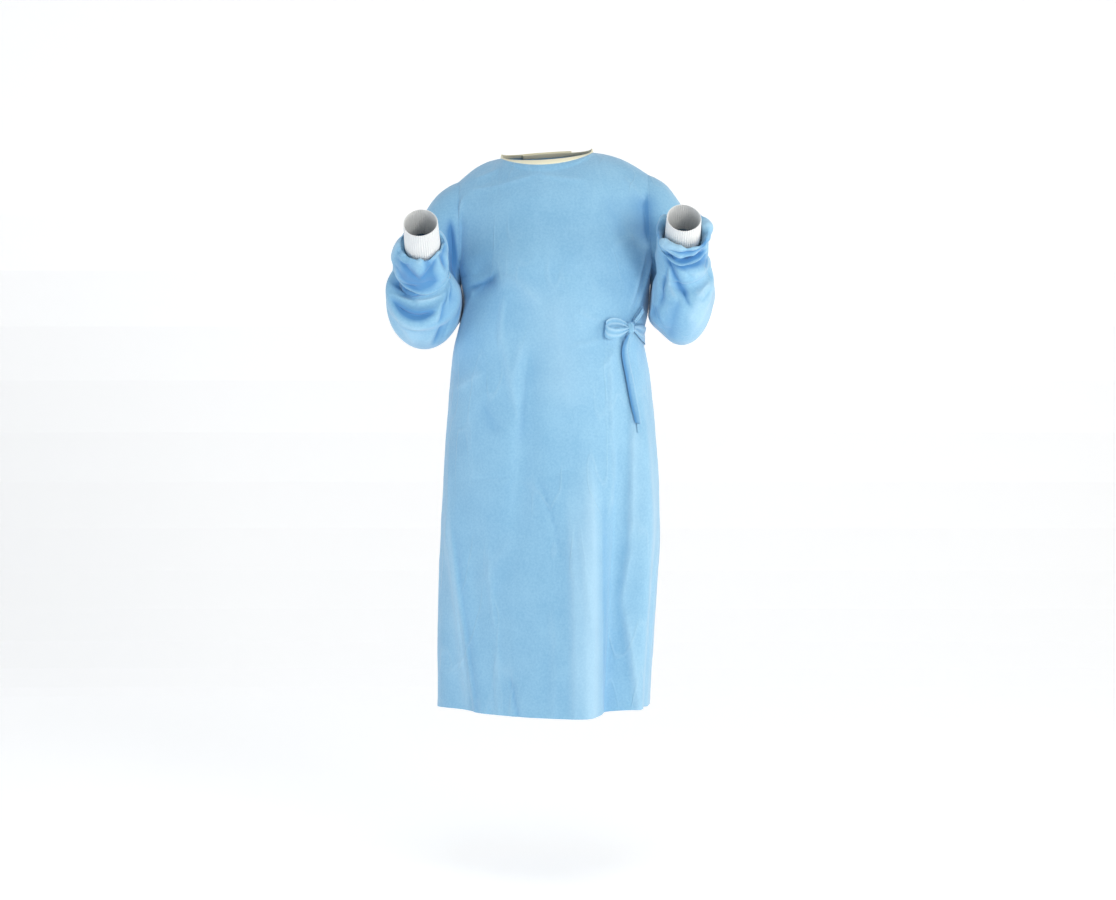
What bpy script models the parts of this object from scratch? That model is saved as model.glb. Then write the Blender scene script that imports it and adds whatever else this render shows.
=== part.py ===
"""A surgical gown, filled out the way it hangs when it is worn, with nobody in it.

The wearer would face -Y, and +X is the wearer's left. The origin is the middle of
the neck opening, level with the tops of the shoulders, which carry the gown.
Lengths are metres and angles are degrees. Round the body, 0 is the front, 90 the
wearer's left side, 180 the back and 270, or -90, the wearer's right side.
"""

import math

import bmesh
import bpy
import numpy as np

# Cloth
WALL = 0.0012  # wall of a cloth panel
KNIT_WALL = 0.0020  # wall of a knitted cuff
BINDING_WALL = 0.0016
SEAM = 0.0003  # gap between two sewn edges
SEAM_ROUND = 0.0006  # the same where the cloth rolls over the shoulder
LAYER = 0.0036  # from one layer of the back to the next one over it

# Lengths down the body
HEM_Z = -1.185
ARMPIT_Z = -0.268

# Neck opening
NECK_HALF = 0.099
NECK_FRONT = 0.086
NECK_BACK = 0.064
NECK_DROP = 0.036  # how far the front of the neckline lies below its sides
NECK_RISE = 0.006
NECK_SHARE = 0.40  # share of a panel's width that ends at the neckline
BINDING_WIDTH = 0.009
SHOULDER_Y = 0.007
SHOULDER_TILT = 0.065  # the wearer's left shoulder is the higher one
SHOULDER_CROWN = 0.010  # how far the shoulder seam arches

# A panel's levels run from 0 at the hem to 1 at its top edge. LOWER is the armpit's.
LOWER = 0.62
BELOW_NECK = 0.985  # a level just under the neckline's seam
TOP_EASE = 0.12  # levels over which the folds die out below the top edge
HOLE_EASE = 0.16  # share of the half width over which they die out at an armhole
ARMPIT_EASE = 0.05  # levels over which that starts above the armpit

# How a panel climbs from the armpit to its top edge. straight is the share of the rise
# that goes up first and lean how far it goes out. Just below the top edge the cloth
# stands out by stand and lies lower by dip, which the neck changes by its own two.
CLIMB_COLUMNS = ("straight", "lean", "stand", "neck_stand", "dip", "neck_dip")
CLIMBS = {
    "front": (0.48, -0.002, -0.075, 0.041, -0.004, -0.046),
    "back": (0.56, 0.012, 0.075, -0.041, -0.004, -0.024),
}

# The body's outline at each height. right_x is the wearer's right side.
SECTION_COLUMNS = ("z", "right_x", "left_x", "front_y", "back_y")
SECTIONS = np.array(
    [
        (-1.185, -0.240, 0.218, -0.176, 0.192),
        (-1.086, -0.240, 0.224, -0.175, 0.187),
        (-1.000, -0.239, 0.230, -0.174, 0.182),
        (-0.914, -0.236, 0.235, -0.173, 0.176),
        (-0.828, -0.230, 0.240, -0.172, 0.171),
        (-0.742, -0.225, 0.240, -0.173, 0.166),
        (-0.656, -0.220, 0.236, -0.169, 0.160),
        (-0.570, -0.214, 0.231, -0.166, 0.153),
        (-0.484, -0.207, 0.222, -0.163, 0.145),
        (-0.410, -0.198, 0.212, -0.159, 0.139),
        (-0.370, -0.187, 0.214, -0.157, 0.138),
        (-0.325, -0.179, 0.218, -0.154, 0.138),
        (-0.268, -0.186, 0.222, -0.149, 0.140),
    ]
)
SQUARENESS = 2.25  # exponent of the body's superellipse

# Long folds of the skirt and body. A fold runs from its top to its bottom, at an
# angle round the body at each end. It stands out by height, or in where that is
# below 0, and near and far are its widths towards smaller and larger angles.
FOLD_FADE = 0.12  # length over which a fold that ends above the hem dies out
FOLD_COLUMNS = ("top_z", "full_z", "end_z", "top_angle", "bottom_angle", "height", "near", "far")
FOLDS = np.array(
    [
        # front, over the left leg
        (-0.52, -1.10, -1.60, 12, 17, 0.046, 20.0, 9.0),
        (-0.54, -0.90, -1.60, 34, 37, -0.020, 4.5, 10.0),
        (-0.44, -0.66, -1.60, 55, 57, 0.013, 8.0, 8.0),
        (-0.62, -0.95, -1.60, 77, 76, -0.011, 8.0, 9.0),
        # front, over the right leg
        (-0.60, -1.10, -1.60, -50, -45, -0.036, 24.0, 22.0),
        (-0.66, -1.00, -1.60, -68, -37, 0.014, 6.0, 9.0),
        (-0.70, -1.05, -1.60, -24, -19, -0.006, 9.0, 8.0),
        (-0.38, -0.50, -0.86, -8, -15, -0.008, 5.0, 6.0),
        (-0.62, -0.95, -1.60, -94, -96, -0.009, 9.0, 9.0),
        # from the armpit to the tie
        (-0.20, -0.27, -0.41, 76, 54, 0.005, 4.0, 7.0),
        # back
        (-0.50, -0.84, -1.60, 103, 104, 0.010, 8.0, 8.0),
        (-0.46, -0.80, -1.60, 127, 125, 0.017, 9.0, 8.0),
        (-0.48, -0.84, -1.60, 146, 144, -0.011, 8.0, 8.0),
        (-0.40, -0.76, -1.60, 165, 163, 0.020, 9.0, 9.0),
        (-0.50, -0.86, -1.60, 187, 186, -0.010, 9.0, 9.0),
        (-0.42, -0.80, -1.60, 207, 208, 0.019, 9.0, 10.0),
        (-0.52, -0.88, -1.60, 229, 229, -0.010, 8.0, 9.0),
        (-0.46, -0.82, -1.60, 248, 247, 0.013, 8.0, 9.0),
    ]
)

# Hollows in the cloth: in front of each armpit, and where the tie draws it in.
DENT_COLUMNS = ("angle", "z", "angle_spread", "z_spread", "depth")
DENTS = np.array(
    [
        (-50, -0.262, 13, 0.040, 0.013),
        (57, -0.125, 12, 0.050, 0.009),
        (96, -0.388, 34, 0.030, 0.006),
        (180, -0.300, 40, 0.110, 0.007),
    ]
)

# Free edges of the two back panels, as shares of the way from the wearer's
# left side seam, 0, to the right side seam, 1. level is 0 at the hem and 1 on top.
FREE_EDGE_COLUMNS = ("level", "under", "over")
FREE_EDGES = np.array(
    [
        (0.00, 0.7200, 0.2400),
        (0.36, 0.7200, 0.2400),
        (0.50, 0.7150, 0.2500),
        (0.62, 0.6900, 0.2900),
        (0.72, 0.6600, 0.3300),
        (0.84, 0.6250, 0.3720),
        (1.00, 0.5714, 0.4286),
    ]
)
OVER_RAMP = 0.13  # share over which the top layer comes down to its side seam

# How far the hem rises at places round it
HEM_RISE_COLUMNS = ("angle", "spread", "rise")
HEM_RISES = np.array([(58, 24, 0.008), (-62, 30, 0.006)])

# Armholes: the shoulder point on top, the underarm point at the bottom.
ARMHOLE_COLUMNS = ("top_x", "top_z", "bottom_x", "bottom_z", "front_y", "back_y")
ARMHOLES = {
    "left": (0.216, -0.041, 0.222, -0.268, -0.066, 0.080),
    "right": (0.189, -0.057, 0.186, -0.268, -0.066, 0.080),
}
ARMHOLE_PULL = 2.5  # exponent of how a panel bends towards its armholes
SIDES = {"left": 1, "right": -1}

# Sleeves. The rings fan round a crease inside the elbow, which lies at crease_y
# and crease_z, and the cuff's seam is at wrist.
CREASE_RADIUS = 0.016
FORE_SLOPE = 33.0  # how steeply the forearm rises towards the hand
SLEEVES = {
    "left": {"crease_y": -0.094, "crease_z": -0.206, "wrist": (0.278, -0.197, -0.208)},
    "right": {"crease_y": -0.092, "crease_z": -0.218, "wrist": (0.254, -0.199, -0.218)},
}
# Rings from the armhole to the elbow. share is the way from the armhole ring to
# the first ring of the elbow's fan, and swell how far the sleeve's cap stands out.
UPPER_RINGS = ((0.0, 0.0), (0.16, 0.006), (0.34, 0.009), (0.54, 0.008), (0.77, 0.004))
# Rings of the fan: how far it has turned, the ring's depth and half width, the
# middle's distance from the body's centre plane, and the ring's sideways lean.
FAN_COLUMNS = ("turn", "depth", "half_width", "x", "lean")
FANS = {
    "left": np.array(
        [
            (0, 0.162, 0.083, 0.2655, 61),
            (-22, 0.180, 0.073, 0.2790, 43),
            (-42, 0.196, 0.067, 0.2870, 24),
            (-60, 0.204, 0.064, 0.2890, 11),
            (-78, 0.195, 0.063, 0.2885, 4),
            (-98, 0.166, 0.064, 0.286, 0),
            (-123, 0.134, 0.063, 0.285, 0),
        ]
    ),
    "right": np.array(
        [
            (0, 0.164, 0.0800, 0.2360, 54),
            (-22, 0.182, 0.0770, 0.2490, 36),
            (-42, 0.196, 0.0770, 0.2580, 18),
            (-60, 0.200, 0.0775, 0.2605, 4),
            (-78, 0.191, 0.0775, 0.2610, 1),
            (-98, 0.166, 0.075, 0.262, 0),
            (-123, 0.138, 0.070, 0.262, 0),
        ]
    ),
}
FAN_RINGS = 11
# The forearm as far as its lip, which rolls back inside down to the cuff's seam.
# along is the distance from the seam towards the hand.
FORE_COLUMNS = ("along", "radius")
FORES = {
    "left": np.array(
        [
            (-0.068, 0.0610),
            (-0.050, 0.0585),
            (-0.030, 0.0565),
            (-0.012, 0.0560),
            (0.003, 0.0545),
            (0.014, 0.0515),
            (0.022, 0.0560),
            (0.032, 0.0590),
            (0.040, 0.0555),
            (0.042, 0.0500),
            (0.036, 0.0440),
            (0.022, 0.0400),
            (0.000, 0.0374),
        ]
    ),
    "right": np.array(
        [
            (-0.071, 0.0590),
            (-0.060, 0.0620),
            (-0.048, 0.0660),
            (-0.032, 0.0655),
            (-0.014, 0.0605),
            (0.000, 0.0545),
            (0.010, 0.0490),
            (0.014, 0.0440),
            (0.009, 0.0396),
            (0.004, 0.0380),
            (0.000, 0.0374),
        ]
    ),
}
# Folds across a sleeve. at is the place along its rings, 0 to 1, and angle the
# place round it: 0 the inside of the elbow, 90 the side away from the body and
# 180 the elbow. roll leans a fold towards the elbow.
SLEEVE_FOLD_COLUMNS = ("at", "width", "angle", "spread", "height", "roll")
SLEEVE_FOLDS = {
    "left": np.array(
        [
            (0.22, 0.040, 60, 60, -0.005, 0.0),
            (0.32, 0.040, 115, 60, 0.004, 0.0),
            (0.40, 0.035, 235, 55, -0.005, 0.0),
            (0.48, 0.025, 265, 45, -0.005, 0.0),
            (0.600, 0.030, 170, 60, 0.004, 0.0),
            (0.675, 0.018, 192, 65, -0.007, 0.0),
            (0.712, 0.016, 188, 65, 0.002, 0.005),
        ]
    ),
    "right": np.array(
        [
            (0.22, 0.040, 70, 60, -0.005, 0.0),
            (0.32, 0.040, 115, 70, 0.004, 0.0),
            (0.40, 0.035, 240, 55, -0.005, 0.0),
            (0.505, 0.018, 175, 65, -0.007, 0.0),
            (0.545, 0.020, 178, 65, 0.005, 0.005),
            (0.596, 0.018, 182, 75, -0.014, 0.0),
            (0.650, 0.028, 184, 75, 0.007, 0.014),
        ]
    ),
}

# Cuffs
CUFF_LENGTH = 0.078
CUFF_SEAM_RADIUS = 0.0370
CUFF_MOUTH_RADIUS = 0.0355
CUFF_SIDES = 24
CUFF_ROWS = 5

# Waist tie, knotted over the left front. out is the distance off the cloth.
KNOT_ANGLE = 49.0
KNOT_Z = -0.3785
KNOT_HALF = (0.009, 0.0074, 0.013)  # off the cloth, along it and up
RIBBON_SEAT = 0.0008
RIBBON_COLUMNS = ("angle", "z", "out", "width", "twist")
STRAP = (
    (142, -0.384, 0.0046, 0.034, 90),
    (136, -0.385, 0.0046, 0.034, 90),
    (130, -0.386, 0.0034, 0.034, 90),
    (124, -0.387, 0.0012, 0.034, 90),
    (112, -0.389, 0.0008, 0.034, 90),
    (100, -0.390, 0.0008, 0.034, 90),
    (88, -0.390, 0.0008, 0.034, 90),
    (76, -0.388, 0.0008, 0.034, 90),
    (66, -0.384, 0.0016, 0.028, 90),
    (58, -0.380, 0.0040, 0.018, 90),
    (52.2, -0.3785, 0.0088, 0.010, 90),
)
# Each loop leaves the knot, turns back on itself and returns to the knot.
FRONT_LOOP = (
    (46.3, -0.3760, 0.0080, 0.010, 90),
    (42.5, -0.3715, 0.0036, 0.016, 90),
    (38.0, -0.3690, 0.0015, 0.020, 90),
    (33.5, -0.3700, 0.0015, 0.022, 90),
    (30.2, -0.3760, 0.0036, 0.024, 90),
    (29.4, -0.3840, 0.0080, 0.025, 90),
    (31.0, -0.3905, 0.0122, 0.025, 90),
    (35.0, -0.3925, 0.0136, 0.023, 90),
    (40.0, -0.3895, 0.0130, 0.019, 90),
    (43.5, -0.3850, 0.0120, 0.013, 90),
    (46.2, -0.3815, 0.0112, 0.010, 90),
)
SIDE_LOOP = (
    (51.9, -0.3670, 0.0080, 0.008, -42),
    (54.2, -0.3600, 0.0036, 0.010, -42),
    (56.8, -0.3510, 0.0015, 0.011, -42),
    (59.0, -0.3420, 0.0018, 0.012, -42),
    (60.2, -0.3365, 0.0050, 0.012, -42),
    (59.4, -0.3385, 0.0092, 0.012, -42),
    (57.0, -0.3480, 0.0112, 0.011, -42),
    (54.4, -0.3580, 0.0116, 0.010, -42),
    (51.9, -0.3655, 0.0112, 0.008, -42),
)
FRONT_TAIL = (
    (48.2, -0.3925, 0.0118, 0.009, 0),
    (46.9, -0.4060, 0.0075, 0.014, 2),
    (46.0, -0.4260, 0.0042, 0.019, 4),
    (45.9, -0.4500, 0.0032, 0.021, 2),
    (46.6, -0.4800, 0.0030, 0.020, -4),
    (47.5, -0.5120, 0.0030, 0.018, -8),
    (48.3, -0.5450, 0.0030, 0.015, -10),
    (49.0, -0.5800, 0.0030, 0.011, -10),
)
SIDE_TAIL = (
    (50.4, -0.3925, 0.0088, 0.008, 0),
    (51.0, -0.4060, 0.0044, 0.012, 0),
    (51.3, -0.4300, 0.0016, 0.016, -2),
    (51.2, -0.4600, 0.0014, 0.018, -2),
    (51.0, -0.4950, 0.0014, 0.018, 0),
    (50.9, -0.5300, 0.0014, 0.018, 0),
    (50.8, -0.5650, 0.0014, 0.018, 0),
    (50.8, -0.6000, 0.0014, 0.018, 0),
)

# Hook-and-loop tab that closes the neck behind. Its places are shares of the
# back, as for the free edges.
TAB_FROM = 0.385
TAB_TO = 0.462
TAB_DROP = 0.012  # from the neckline's seam to the tab's top edge
TAB_HEIGHT = 0.026
TAB_OUT = 0.0008
TAB_STEP = (-0.035, -0.005)  # where it climbs onto the top layer, from the free edge
UPPER_HEIGHT = 0.36  # length along the back that a level of 1 stands for up there

# Panel grids. The rows above the armpit also set the sides of a sleeve's ring.
ROWS_BELOW = 14
ROW_CROWDING = 1.35  # above 1, the rows lie closer together near the armpit
ROWS_ABOVE = 12
FRONT_COLUMNS = 30
BACK_COLUMNS = (10, 16, 10)  # left seam to top free edge, to under free edge, to right seam


def smooth_read(table, columns, name, at):
    """A column of a table at some value of its first column, on one smooth curve."""
    rows = np.asarray(table, float)
    if rows[0, 0] > rows[-1, 0]:
        rows = rows[::-1]
    x, y = rows[:, 0], rows[:, columns.index(name)]
    slope = np.gradient(y, x)
    at = np.clip(np.asarray(at, float), x[0], x[-1])
    i = np.clip(np.searchsorted(x, at) - 1, 0, len(x) - 2)
    step = x[i + 1] - x[i]
    t = (at - x[i]) / step
    return (
        (2 * t**3 - 3 * t**2 + 1) * y[i]
        + (t**3 - 2 * t**2 + t) * step * slope[i]
        + (3 * t**2 - 2 * t**3) * y[i + 1]
        + (t**3 - t**2) * step * slope[i + 1]
    )


def smoothstep(value):
    t = np.clip(value, 0, 1)
    return t * t * (3 - 2 * t)


def superellipse(value):
    return np.sign(value) * np.abs(value) ** (2 / SQUARENESS)


def stack(x, y, z):
    return np.stack(np.broadcast_arrays(x, y, z), axis=-1).astype(float)


def normalized(vectors):
    return vectors / np.linalg.norm(vectors, axis=-1, keepdims=True)


def round_angle(face, across):
    """The angle round the body of a place across the front or the back."""
    return 90 * across if face == "front" else 180 - 90 * across


def turned_off(angle, middle):
    """How far an angle lies from another one, -180 to 180."""
    return (angle - middle + 180) % 360 - 180


def section_point(angle, z):
    """A point on the plain body, with no folds, at an angle and a height."""
    right, left, front, back = (smooth_read(SECTIONS, SECTION_COLUMNS, n, z) for n in SECTION_COLUMNS[1:])
    turn = np.radians(angle)
    across, along = superellipse(np.sin(turn)), superellipse(np.cos(turn))
    x = (left + right) / 2 + (left - right) / 2 * across
    y = np.where(along > 0, front * along, -back * along)
    return stack(x, y, z)


def armhole_point(side, angle):
    """A point of an armhole: -90 the underarm, 0 the front, 90 the shoulder, 180 the back."""
    hole = dict(zip(ARMHOLE_COLUMNS, ARMHOLES[side]))
    turn = np.radians(angle)
    rise, fore = np.sin(turn), np.cos(turn)
    ends = (("top_x", "bottom_x", rise), ("front_y", "back_y", fore), ("top_z", "bottom_z", rise))
    x, y, z = ((hole[a] + hole[b]) / 2 + (hole[a] - hole[b]) / 2 * way for a, b, way in ends)
    return stack(SIDES[side] * x, y, z)


def top_edge(face, across):
    """The seam along the top of the front or the back, from side to side, -1 to 1 in X."""
    reach = np.abs(across)
    side = np.sign(across)
    turn = math.pi / 2 * np.clip(reach / NECK_SHARE, 0, 1)
    depth = -NECK_FRONT if face == "front" else NECK_BACK
    height = -NECK_DROP if face == "front" else NECK_RISE
    neck = stack(
        side * NECK_HALF * np.sin(turn),
        SHOULDER_Y + (depth - SHOULDER_Y) * np.cos(turn),
        height * np.cos(turn) ** 1.4 + SHOULDER_TILT * side * NECK_HALF * np.sin(turn),
    )
    way = np.clip((reach - NECK_SHARE) / (1 - NECK_SHARE), 0, 1)
    left, right = armhole_point("left", 90), armhole_point("right", 90)
    end = np.where((side > 0)[..., None], left, right)
    start = stack(side * NECK_HALF, SHOULDER_Y, SHOULDER_TILT * side * NECK_HALF)
    crown = SHOULDER_CROWN * np.sin(math.pi * way)
    shoulder = start + (end - start) * way[..., None] + stack(0, 0, crown)
    return np.where((reach < NECK_SHARE)[..., None], neck, shoulder)


def climb_point(face, across, t):
    """A point above the armpit, t of the way up, as it is before the armholes draw it in."""
    form = dict(zip(CLIMB_COLUMNS, CLIMBS[face]))
    low, high = section_point(round_angle(face, across), ARMPIT_Z), top_edge(face, across)
    at_neck = 1 - smoothstep(np.abs(across) / NECK_SHARE)
    above_low = low + stack(0, form["lean"], form["straight"] * (high[..., 2] - ARMPIT_Z))
    stand = form["stand"] + form["neck_stand"] * at_neck
    dip = form["dip"] + form["neck_dip"] * at_neck
    below_high = high + stack(0, stand, dip)
    t = np.asarray(t)[..., None]
    s = 1 - t
    return low * s**3 + 3 * above_low * t * s**2 + 3 * below_high * t**2 * s + high * t**3


def upper_point(face, across, t):
    """A point above the armpit, t of the way up to the top edge."""
    point = climb_point(face, across, t)
    for name, side in SIDES.items():
        turn = -90 + 180 * t
        hole = armhole_point(name, turn if face == "front" else 180 - turn)
        at_edge = climb_point(face, np.full_like(across, side), t)
        near = np.clip(side * across, 0, 1)[..., None]
        point = point + (hole - at_edge) * near**ARMHOLE_PULL
    return point


def plain_point(face, across, level):
    """A point on the panels with no folds. across runs from -1 to 1 in X."""
    across, level = np.broadcast_arrays(np.asarray(across, float), np.asarray(level, float))
    low = np.clip(level / LOWER, None, 1)
    z = HEM_Z + (ARMPIT_Z - HEM_Z) * low
    angle = round_angle(face, across)
    rise = sum(up * np.exp(-((turned_off(angle, middle) / spread) ** 2)) for middle, spread, up in HEM_RISES)
    below = section_point(angle, z) + stack(0, 0, rise * (1 - low) ** 2)
    above = upper_point(face, np.clip(across, -1, 1), np.clip((level - LOWER) / (1 - LOWER), 0, 1))
    return np.where((level > LOWER)[..., None], above, below)


def outward(face, across, level):
    """The direction that points off the cloth."""
    step = 0.004
    side_low, side_high = np.clip(across - step, -1, 1), np.clip(across + step, -1, 1)
    low, high = np.clip(level - step, 0, 1), np.clip(level + step, 0, 1)
    side = plain_point(face, side_high, level) - plain_point(face, side_low, level)
    up = plain_point(face, across, high) - plain_point(face, across, low)
    normal = normalized(np.cross(side, up))
    return normal if face == "front" else -normal


def fold_height(angle, z):
    """How far the folds and hollows move the cloth off the plain body."""
    total = np.zeros_like(angle)
    for top, full, end, top_angle, bottom_angle, height, near, far in FOLDS:
        way = np.clip((top - z) / (top - max(end, HEM_Z)), 0, 1)
        off = turned_off(angle, top_angle + (bottom_angle - top_angle) * way)
        width = np.where(off < 0, near, far)
        strength = smoothstep((top - z) / (top - full)) * smoothstep((z - end) / FOLD_FADE)
        total = total + height * strength * np.exp(-((off / width) ** 2))
    for middle, height, angle_spread, z_spread, depth in DENTS:
        off = turned_off(angle, middle)
        total = total - depth * np.exp(-((off / angle_spread) ** 2) - ((z - height) / z_spread) ** 2)
    return total


def body_point(face, across, level, out=0.0):
    """A point on the folded cloth of the front or the back, moved off it by out."""
    across, level = np.broadcast_arrays(np.asarray(across, float), np.asarray(level, float))
    plain = plain_point(face, across, level)
    at_top = smoothstep((1 - level) / TOP_EASE)
    at_hole = smoothstep((1 - np.abs(across)) / HOLE_EASE)
    ease = smoothstep((level - LOWER) / ARMPIT_EASE)
    free = at_top * (1 + (at_hole - 1) * ease)
    lift = fold_height(round_angle(face, across), plain[..., 2]) * free + out
    return plain + outward(face, across, level) * lift[..., None]


def material(name, colour, roughness):
    made = bpy.data.materials.new(name)
    made.use_nodes = True
    shader = made.node_tree.nodes["Principled BSDF"]
    shader.inputs["Base Color"].default_value = (*colour, 1.0)
    shader.inputs["Roughness"].default_value = roughness
    shader.inputs["Metallic"].default_value = 0.0
    return made


def cloth_object(name, grid, finish, wall, closed=False, flip=False, offset=-1.0):
    """A sheet through a grid of points, rows by columns, given its wall by Solidify."""
    rows, columns = grid.shape[:2]
    shape = bmesh.new()
    points = [[shape.verts.new(point) for point in row] for row in grid]
    for i in range(rows - 1):
        for j in range(columns if closed else columns - 1):
            k = (j + 1) % columns
            corners = [points[i][j], points[i][k], points[i + 1][k], points[i + 1][j]]
            shape.faces.new(reversed(corners) if flip else corners)
    mesh = bpy.data.meshes.new(name)
    shape.to_mesh(mesh)
    shape.free()
    mesh.shade_smooth()
    mesh.materials.append(finish)
    piece = bpy.data.objects.new(name, mesh)
    gown.objects.link(piece)
    solidify = piece.modifiers.new("Wall", "SOLIDIFY")
    solidify.thickness = wall
    solidify.offset = offset
    solidify.use_even_offset = True
    return piece


def panel_levels():
    """Levels of a panel's rows, the same in the front and the back."""
    low = LOWER * (1 - np.linspace(1, 0, ROWS_BELOW + 1) ** ROW_CROWDING)
    return np.concatenate([low, np.linspace(LOWER, 1, ROWS_ABOVE + 1)[1:]])


def inset(grid, first, last, bottom, top):
    """Moves a grid's four edges in along the cloth, to leave the gaps at its seams."""
    grid = grid.copy()
    grid[:, 0] += normalized(grid[:, 1] - grid[:, 0]) * first
    grid[:, -1] += normalized(grid[:, -2] - grid[:, -1]) * last
    grid[0] += normalized(grid[1] - grid[0]) * bottom
    grid[-1] += normalized(grid[-2] - grid[-1]) * top
    return grid


def make_front():
    across = np.linspace(-1, 1, FRONT_COLUMNS + 1)
    across, levels = np.meshgrid(across, panel_levels())
    grid = body_point("front", across, levels)
    grid = inset(grid, SEAM / 2, SEAM / 2, 0, SEAM_ROUND / 2)
    cloth_object("front_panel", grid, gown_cloth, WALL)


def free_edge(name, levels):
    return smooth_read(FREE_EDGES, FREE_EDGE_COLUMNS, name, levels)


def back_columns(levels):
    """Shares of the back's columns at each level. Both back panels keep to them."""
    first, second, last = BACK_COLUMNS
    over, under = free_edge("over", levels)[:, None], free_edge("under", levels)[:, None]
    left = over * np.linspace(0, 1, first + 1)[None]
    middle = over + (under - over) * np.linspace(0, 1, second + 1)[None, 1:]
    right = under + (1 - under) * np.linspace(0, 1, last + 1)[None, 1:]
    return np.concatenate([left, middle, right], axis=1)


def over_lift(share, levels):
    """How far the top layer of the back lies off the plain back."""
    start = free_edge("under", levels) + 0.02
    return LAYER * (1 - smoothstep((share - start) / OVER_RAMP))


def back_point(share, levels, out=0.0):
    """A point on the back, share of the way from the left side seam to the right one."""
    return body_point("back", 1 - 2 * share, levels, out)


def make_backs():
    levels = panel_levels()
    shares = back_columns(levels)
    levels = np.broadcast_to(levels[:, None], shares.shape)
    to_over, to_under = BACK_COLUMNS[0], BACK_COLUMNS[0] + BACK_COLUMNS[1]
    grid = back_point(shares, levels)[:, : to_under + 1]
    cloth_object("back_panel_left", inset(grid, SEAM / 2, 0, 0, SEAM_ROUND / 2), gown_cloth, WALL)
    grid = back_point(shares, levels, over_lift(shares, levels))[:, to_over:]
    cloth_object("back_panel_right", inset(grid, 0, SEAM / 2, 0, SEAM_ROUND / 2), gown_cloth, WALL)


def between_points(grid, row, column):
    """A point of a grid's facets, at a row and a column that needn't be whole."""
    i = np.clip(np.floor(row).astype(int), 0, grid.shape[0] - 2)
    j = np.clip(np.floor(column).astype(int), 0, grid.shape[1] - 2)
    u, v = (row - i)[..., None], (column - j)[..., None]
    low = grid[i, j] * (1 - v) + grid[i, j + 1] * v
    high = grid[i + 1, j] * (1 - v) + grid[i + 1, j + 1] * v
    return low * (1 - u) + high * u


def place_on_cloth(angle, z, out):
    """A point on the panels' own facets, at an angle and a height below the armpit."""
    angle, z, out = (np.asarray(one, float) for one in np.broadcast_arrays(angle, z, out))
    levels = panel_levels()
    level = (z - HEM_Z) / (ARMPIT_Z - HEM_Z) * LOWER
    row = np.interp(level, levels, np.arange(len(levels)))
    shares = back_columns(levels)
    at_level = back_columns(level.reshape(-1))
    share = ((angle - 90) / 180).reshape(-1)
    back_column = [np.interp(one, line, np.arange(len(line))) for one, line in zip(share, at_level)]
    back_column = np.reshape(back_column, angle.shape)
    front_column = np.clip((angle / 90 + 1) / 2 * FRONT_COLUMNS, 0, FRONT_COLUMNS)
    across = np.linspace(-1, 1, FRONT_COLUMNS + 1)
    on_front = between_points(body_point("front", across[None], levels[:, None]), row, front_column)
    on_back = between_points(back_point(shares, levels[:, None]), row, back_column)
    is_front = angle <= 90
    base = np.where(is_front[..., None], on_front, on_back)
    off_front = outward("front", np.clip(angle / 90, -1, 1), level)
    off_back = outward("back", np.clip((180 - angle) / 90, -1, 1), level)
    off = np.where(is_front[..., None], off_front, off_back)
    return base + off * out[..., None]


def forearm(side):
    """The middle of the cuff's seam, the way towards the hand and the way up from it."""
    slope = math.radians(FORE_SLOPE)
    forward = np.array((0, -math.cos(slope), math.sin(slope)))
    upward = np.array((0, math.sin(slope), math.cos(slope)))
    x, y, z = SLEEVES[side]["wrist"]
    return np.array((SIDES[side] * x, y, z)), forward, upward


def sleeve_rings(side):
    """The rings of a sleeve as middles, inner arms and side arms, from the armhole to the cuff."""
    sign, place = SIDES[side], SLEEVES[side]
    fan = FANS[side]
    rings = []
    for turn in np.linspace(0, fan[-1, 0], FAN_RINGS):
        depth, half_width, x, lean = (smooth_read(fan, FAN_COLUMNS, n, turn) for n in FAN_COLUMNS[1:])
        way = np.array((0, math.cos(math.radians(turn)), math.sin(math.radians(turn))))
        start = np.array((sign * x, place["crease_y"], place["crease_z"]))
        inner, outer = start + way * CREASE_RADIUS, start + way * (CREASE_RADIUS + depth)
        tilt = math.radians(lean)
        arm = half_width * np.array((sign * math.cos(tilt), 0, math.sin(tilt)))
        rings.append(((inner + outer) / 2, (inner - outer) / 2, arm))
    first = [armhole_point(side, angle) for angle in (-90, 0, 90, 180)]
    hole_middle = (first[0] + first[2]) / 2
    hole = (hole_middle, (first[1] - first[3]) / 2, (first[2] - first[0]) / 2)
    upper = []
    for share, swell in UPPER_RINGS:
        middle, inner, arm = (a + (b - a) * share for a, b in zip(hole, rings[0]))
        cap = np.array((sign * swell, 0, swell)) / 2
        upper.append((middle + cap, inner, arm + cap))
    wrist, forward, upward = forearm(side)
    lower = []
    for along, radius in FORES[side]:
        middle = wrist + forward * along
        lower.append((middle, upward * radius, np.array((sign * radius, 0, 0))))
    return upper + rings + lower


def sleeve_point(side, at, angle):
    """A point on a plain sleeve: at runs over its rings, 0 to 1, and angle runs round it."""
    rings = sleeve_rings(side)
    table = np.array([np.concatenate(ring) for ring in rings])
    places = np.linspace(0, 1, len(rings))
    columns = ("at",) + tuple(f"c{i}" for i in range(table.shape[1]))
    rows = np.column_stack([places, table])
    value = np.stack([smooth_read(rows, columns, n, at) for n in columns[1:]], axis=-1)
    middle, inner, arm = value[..., 0:3], value[..., 3:6], value[..., 6:9]
    turn = np.radians(angle)[..., None]
    return middle + inner * np.cos(turn) + arm * np.sin(turn)


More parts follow.
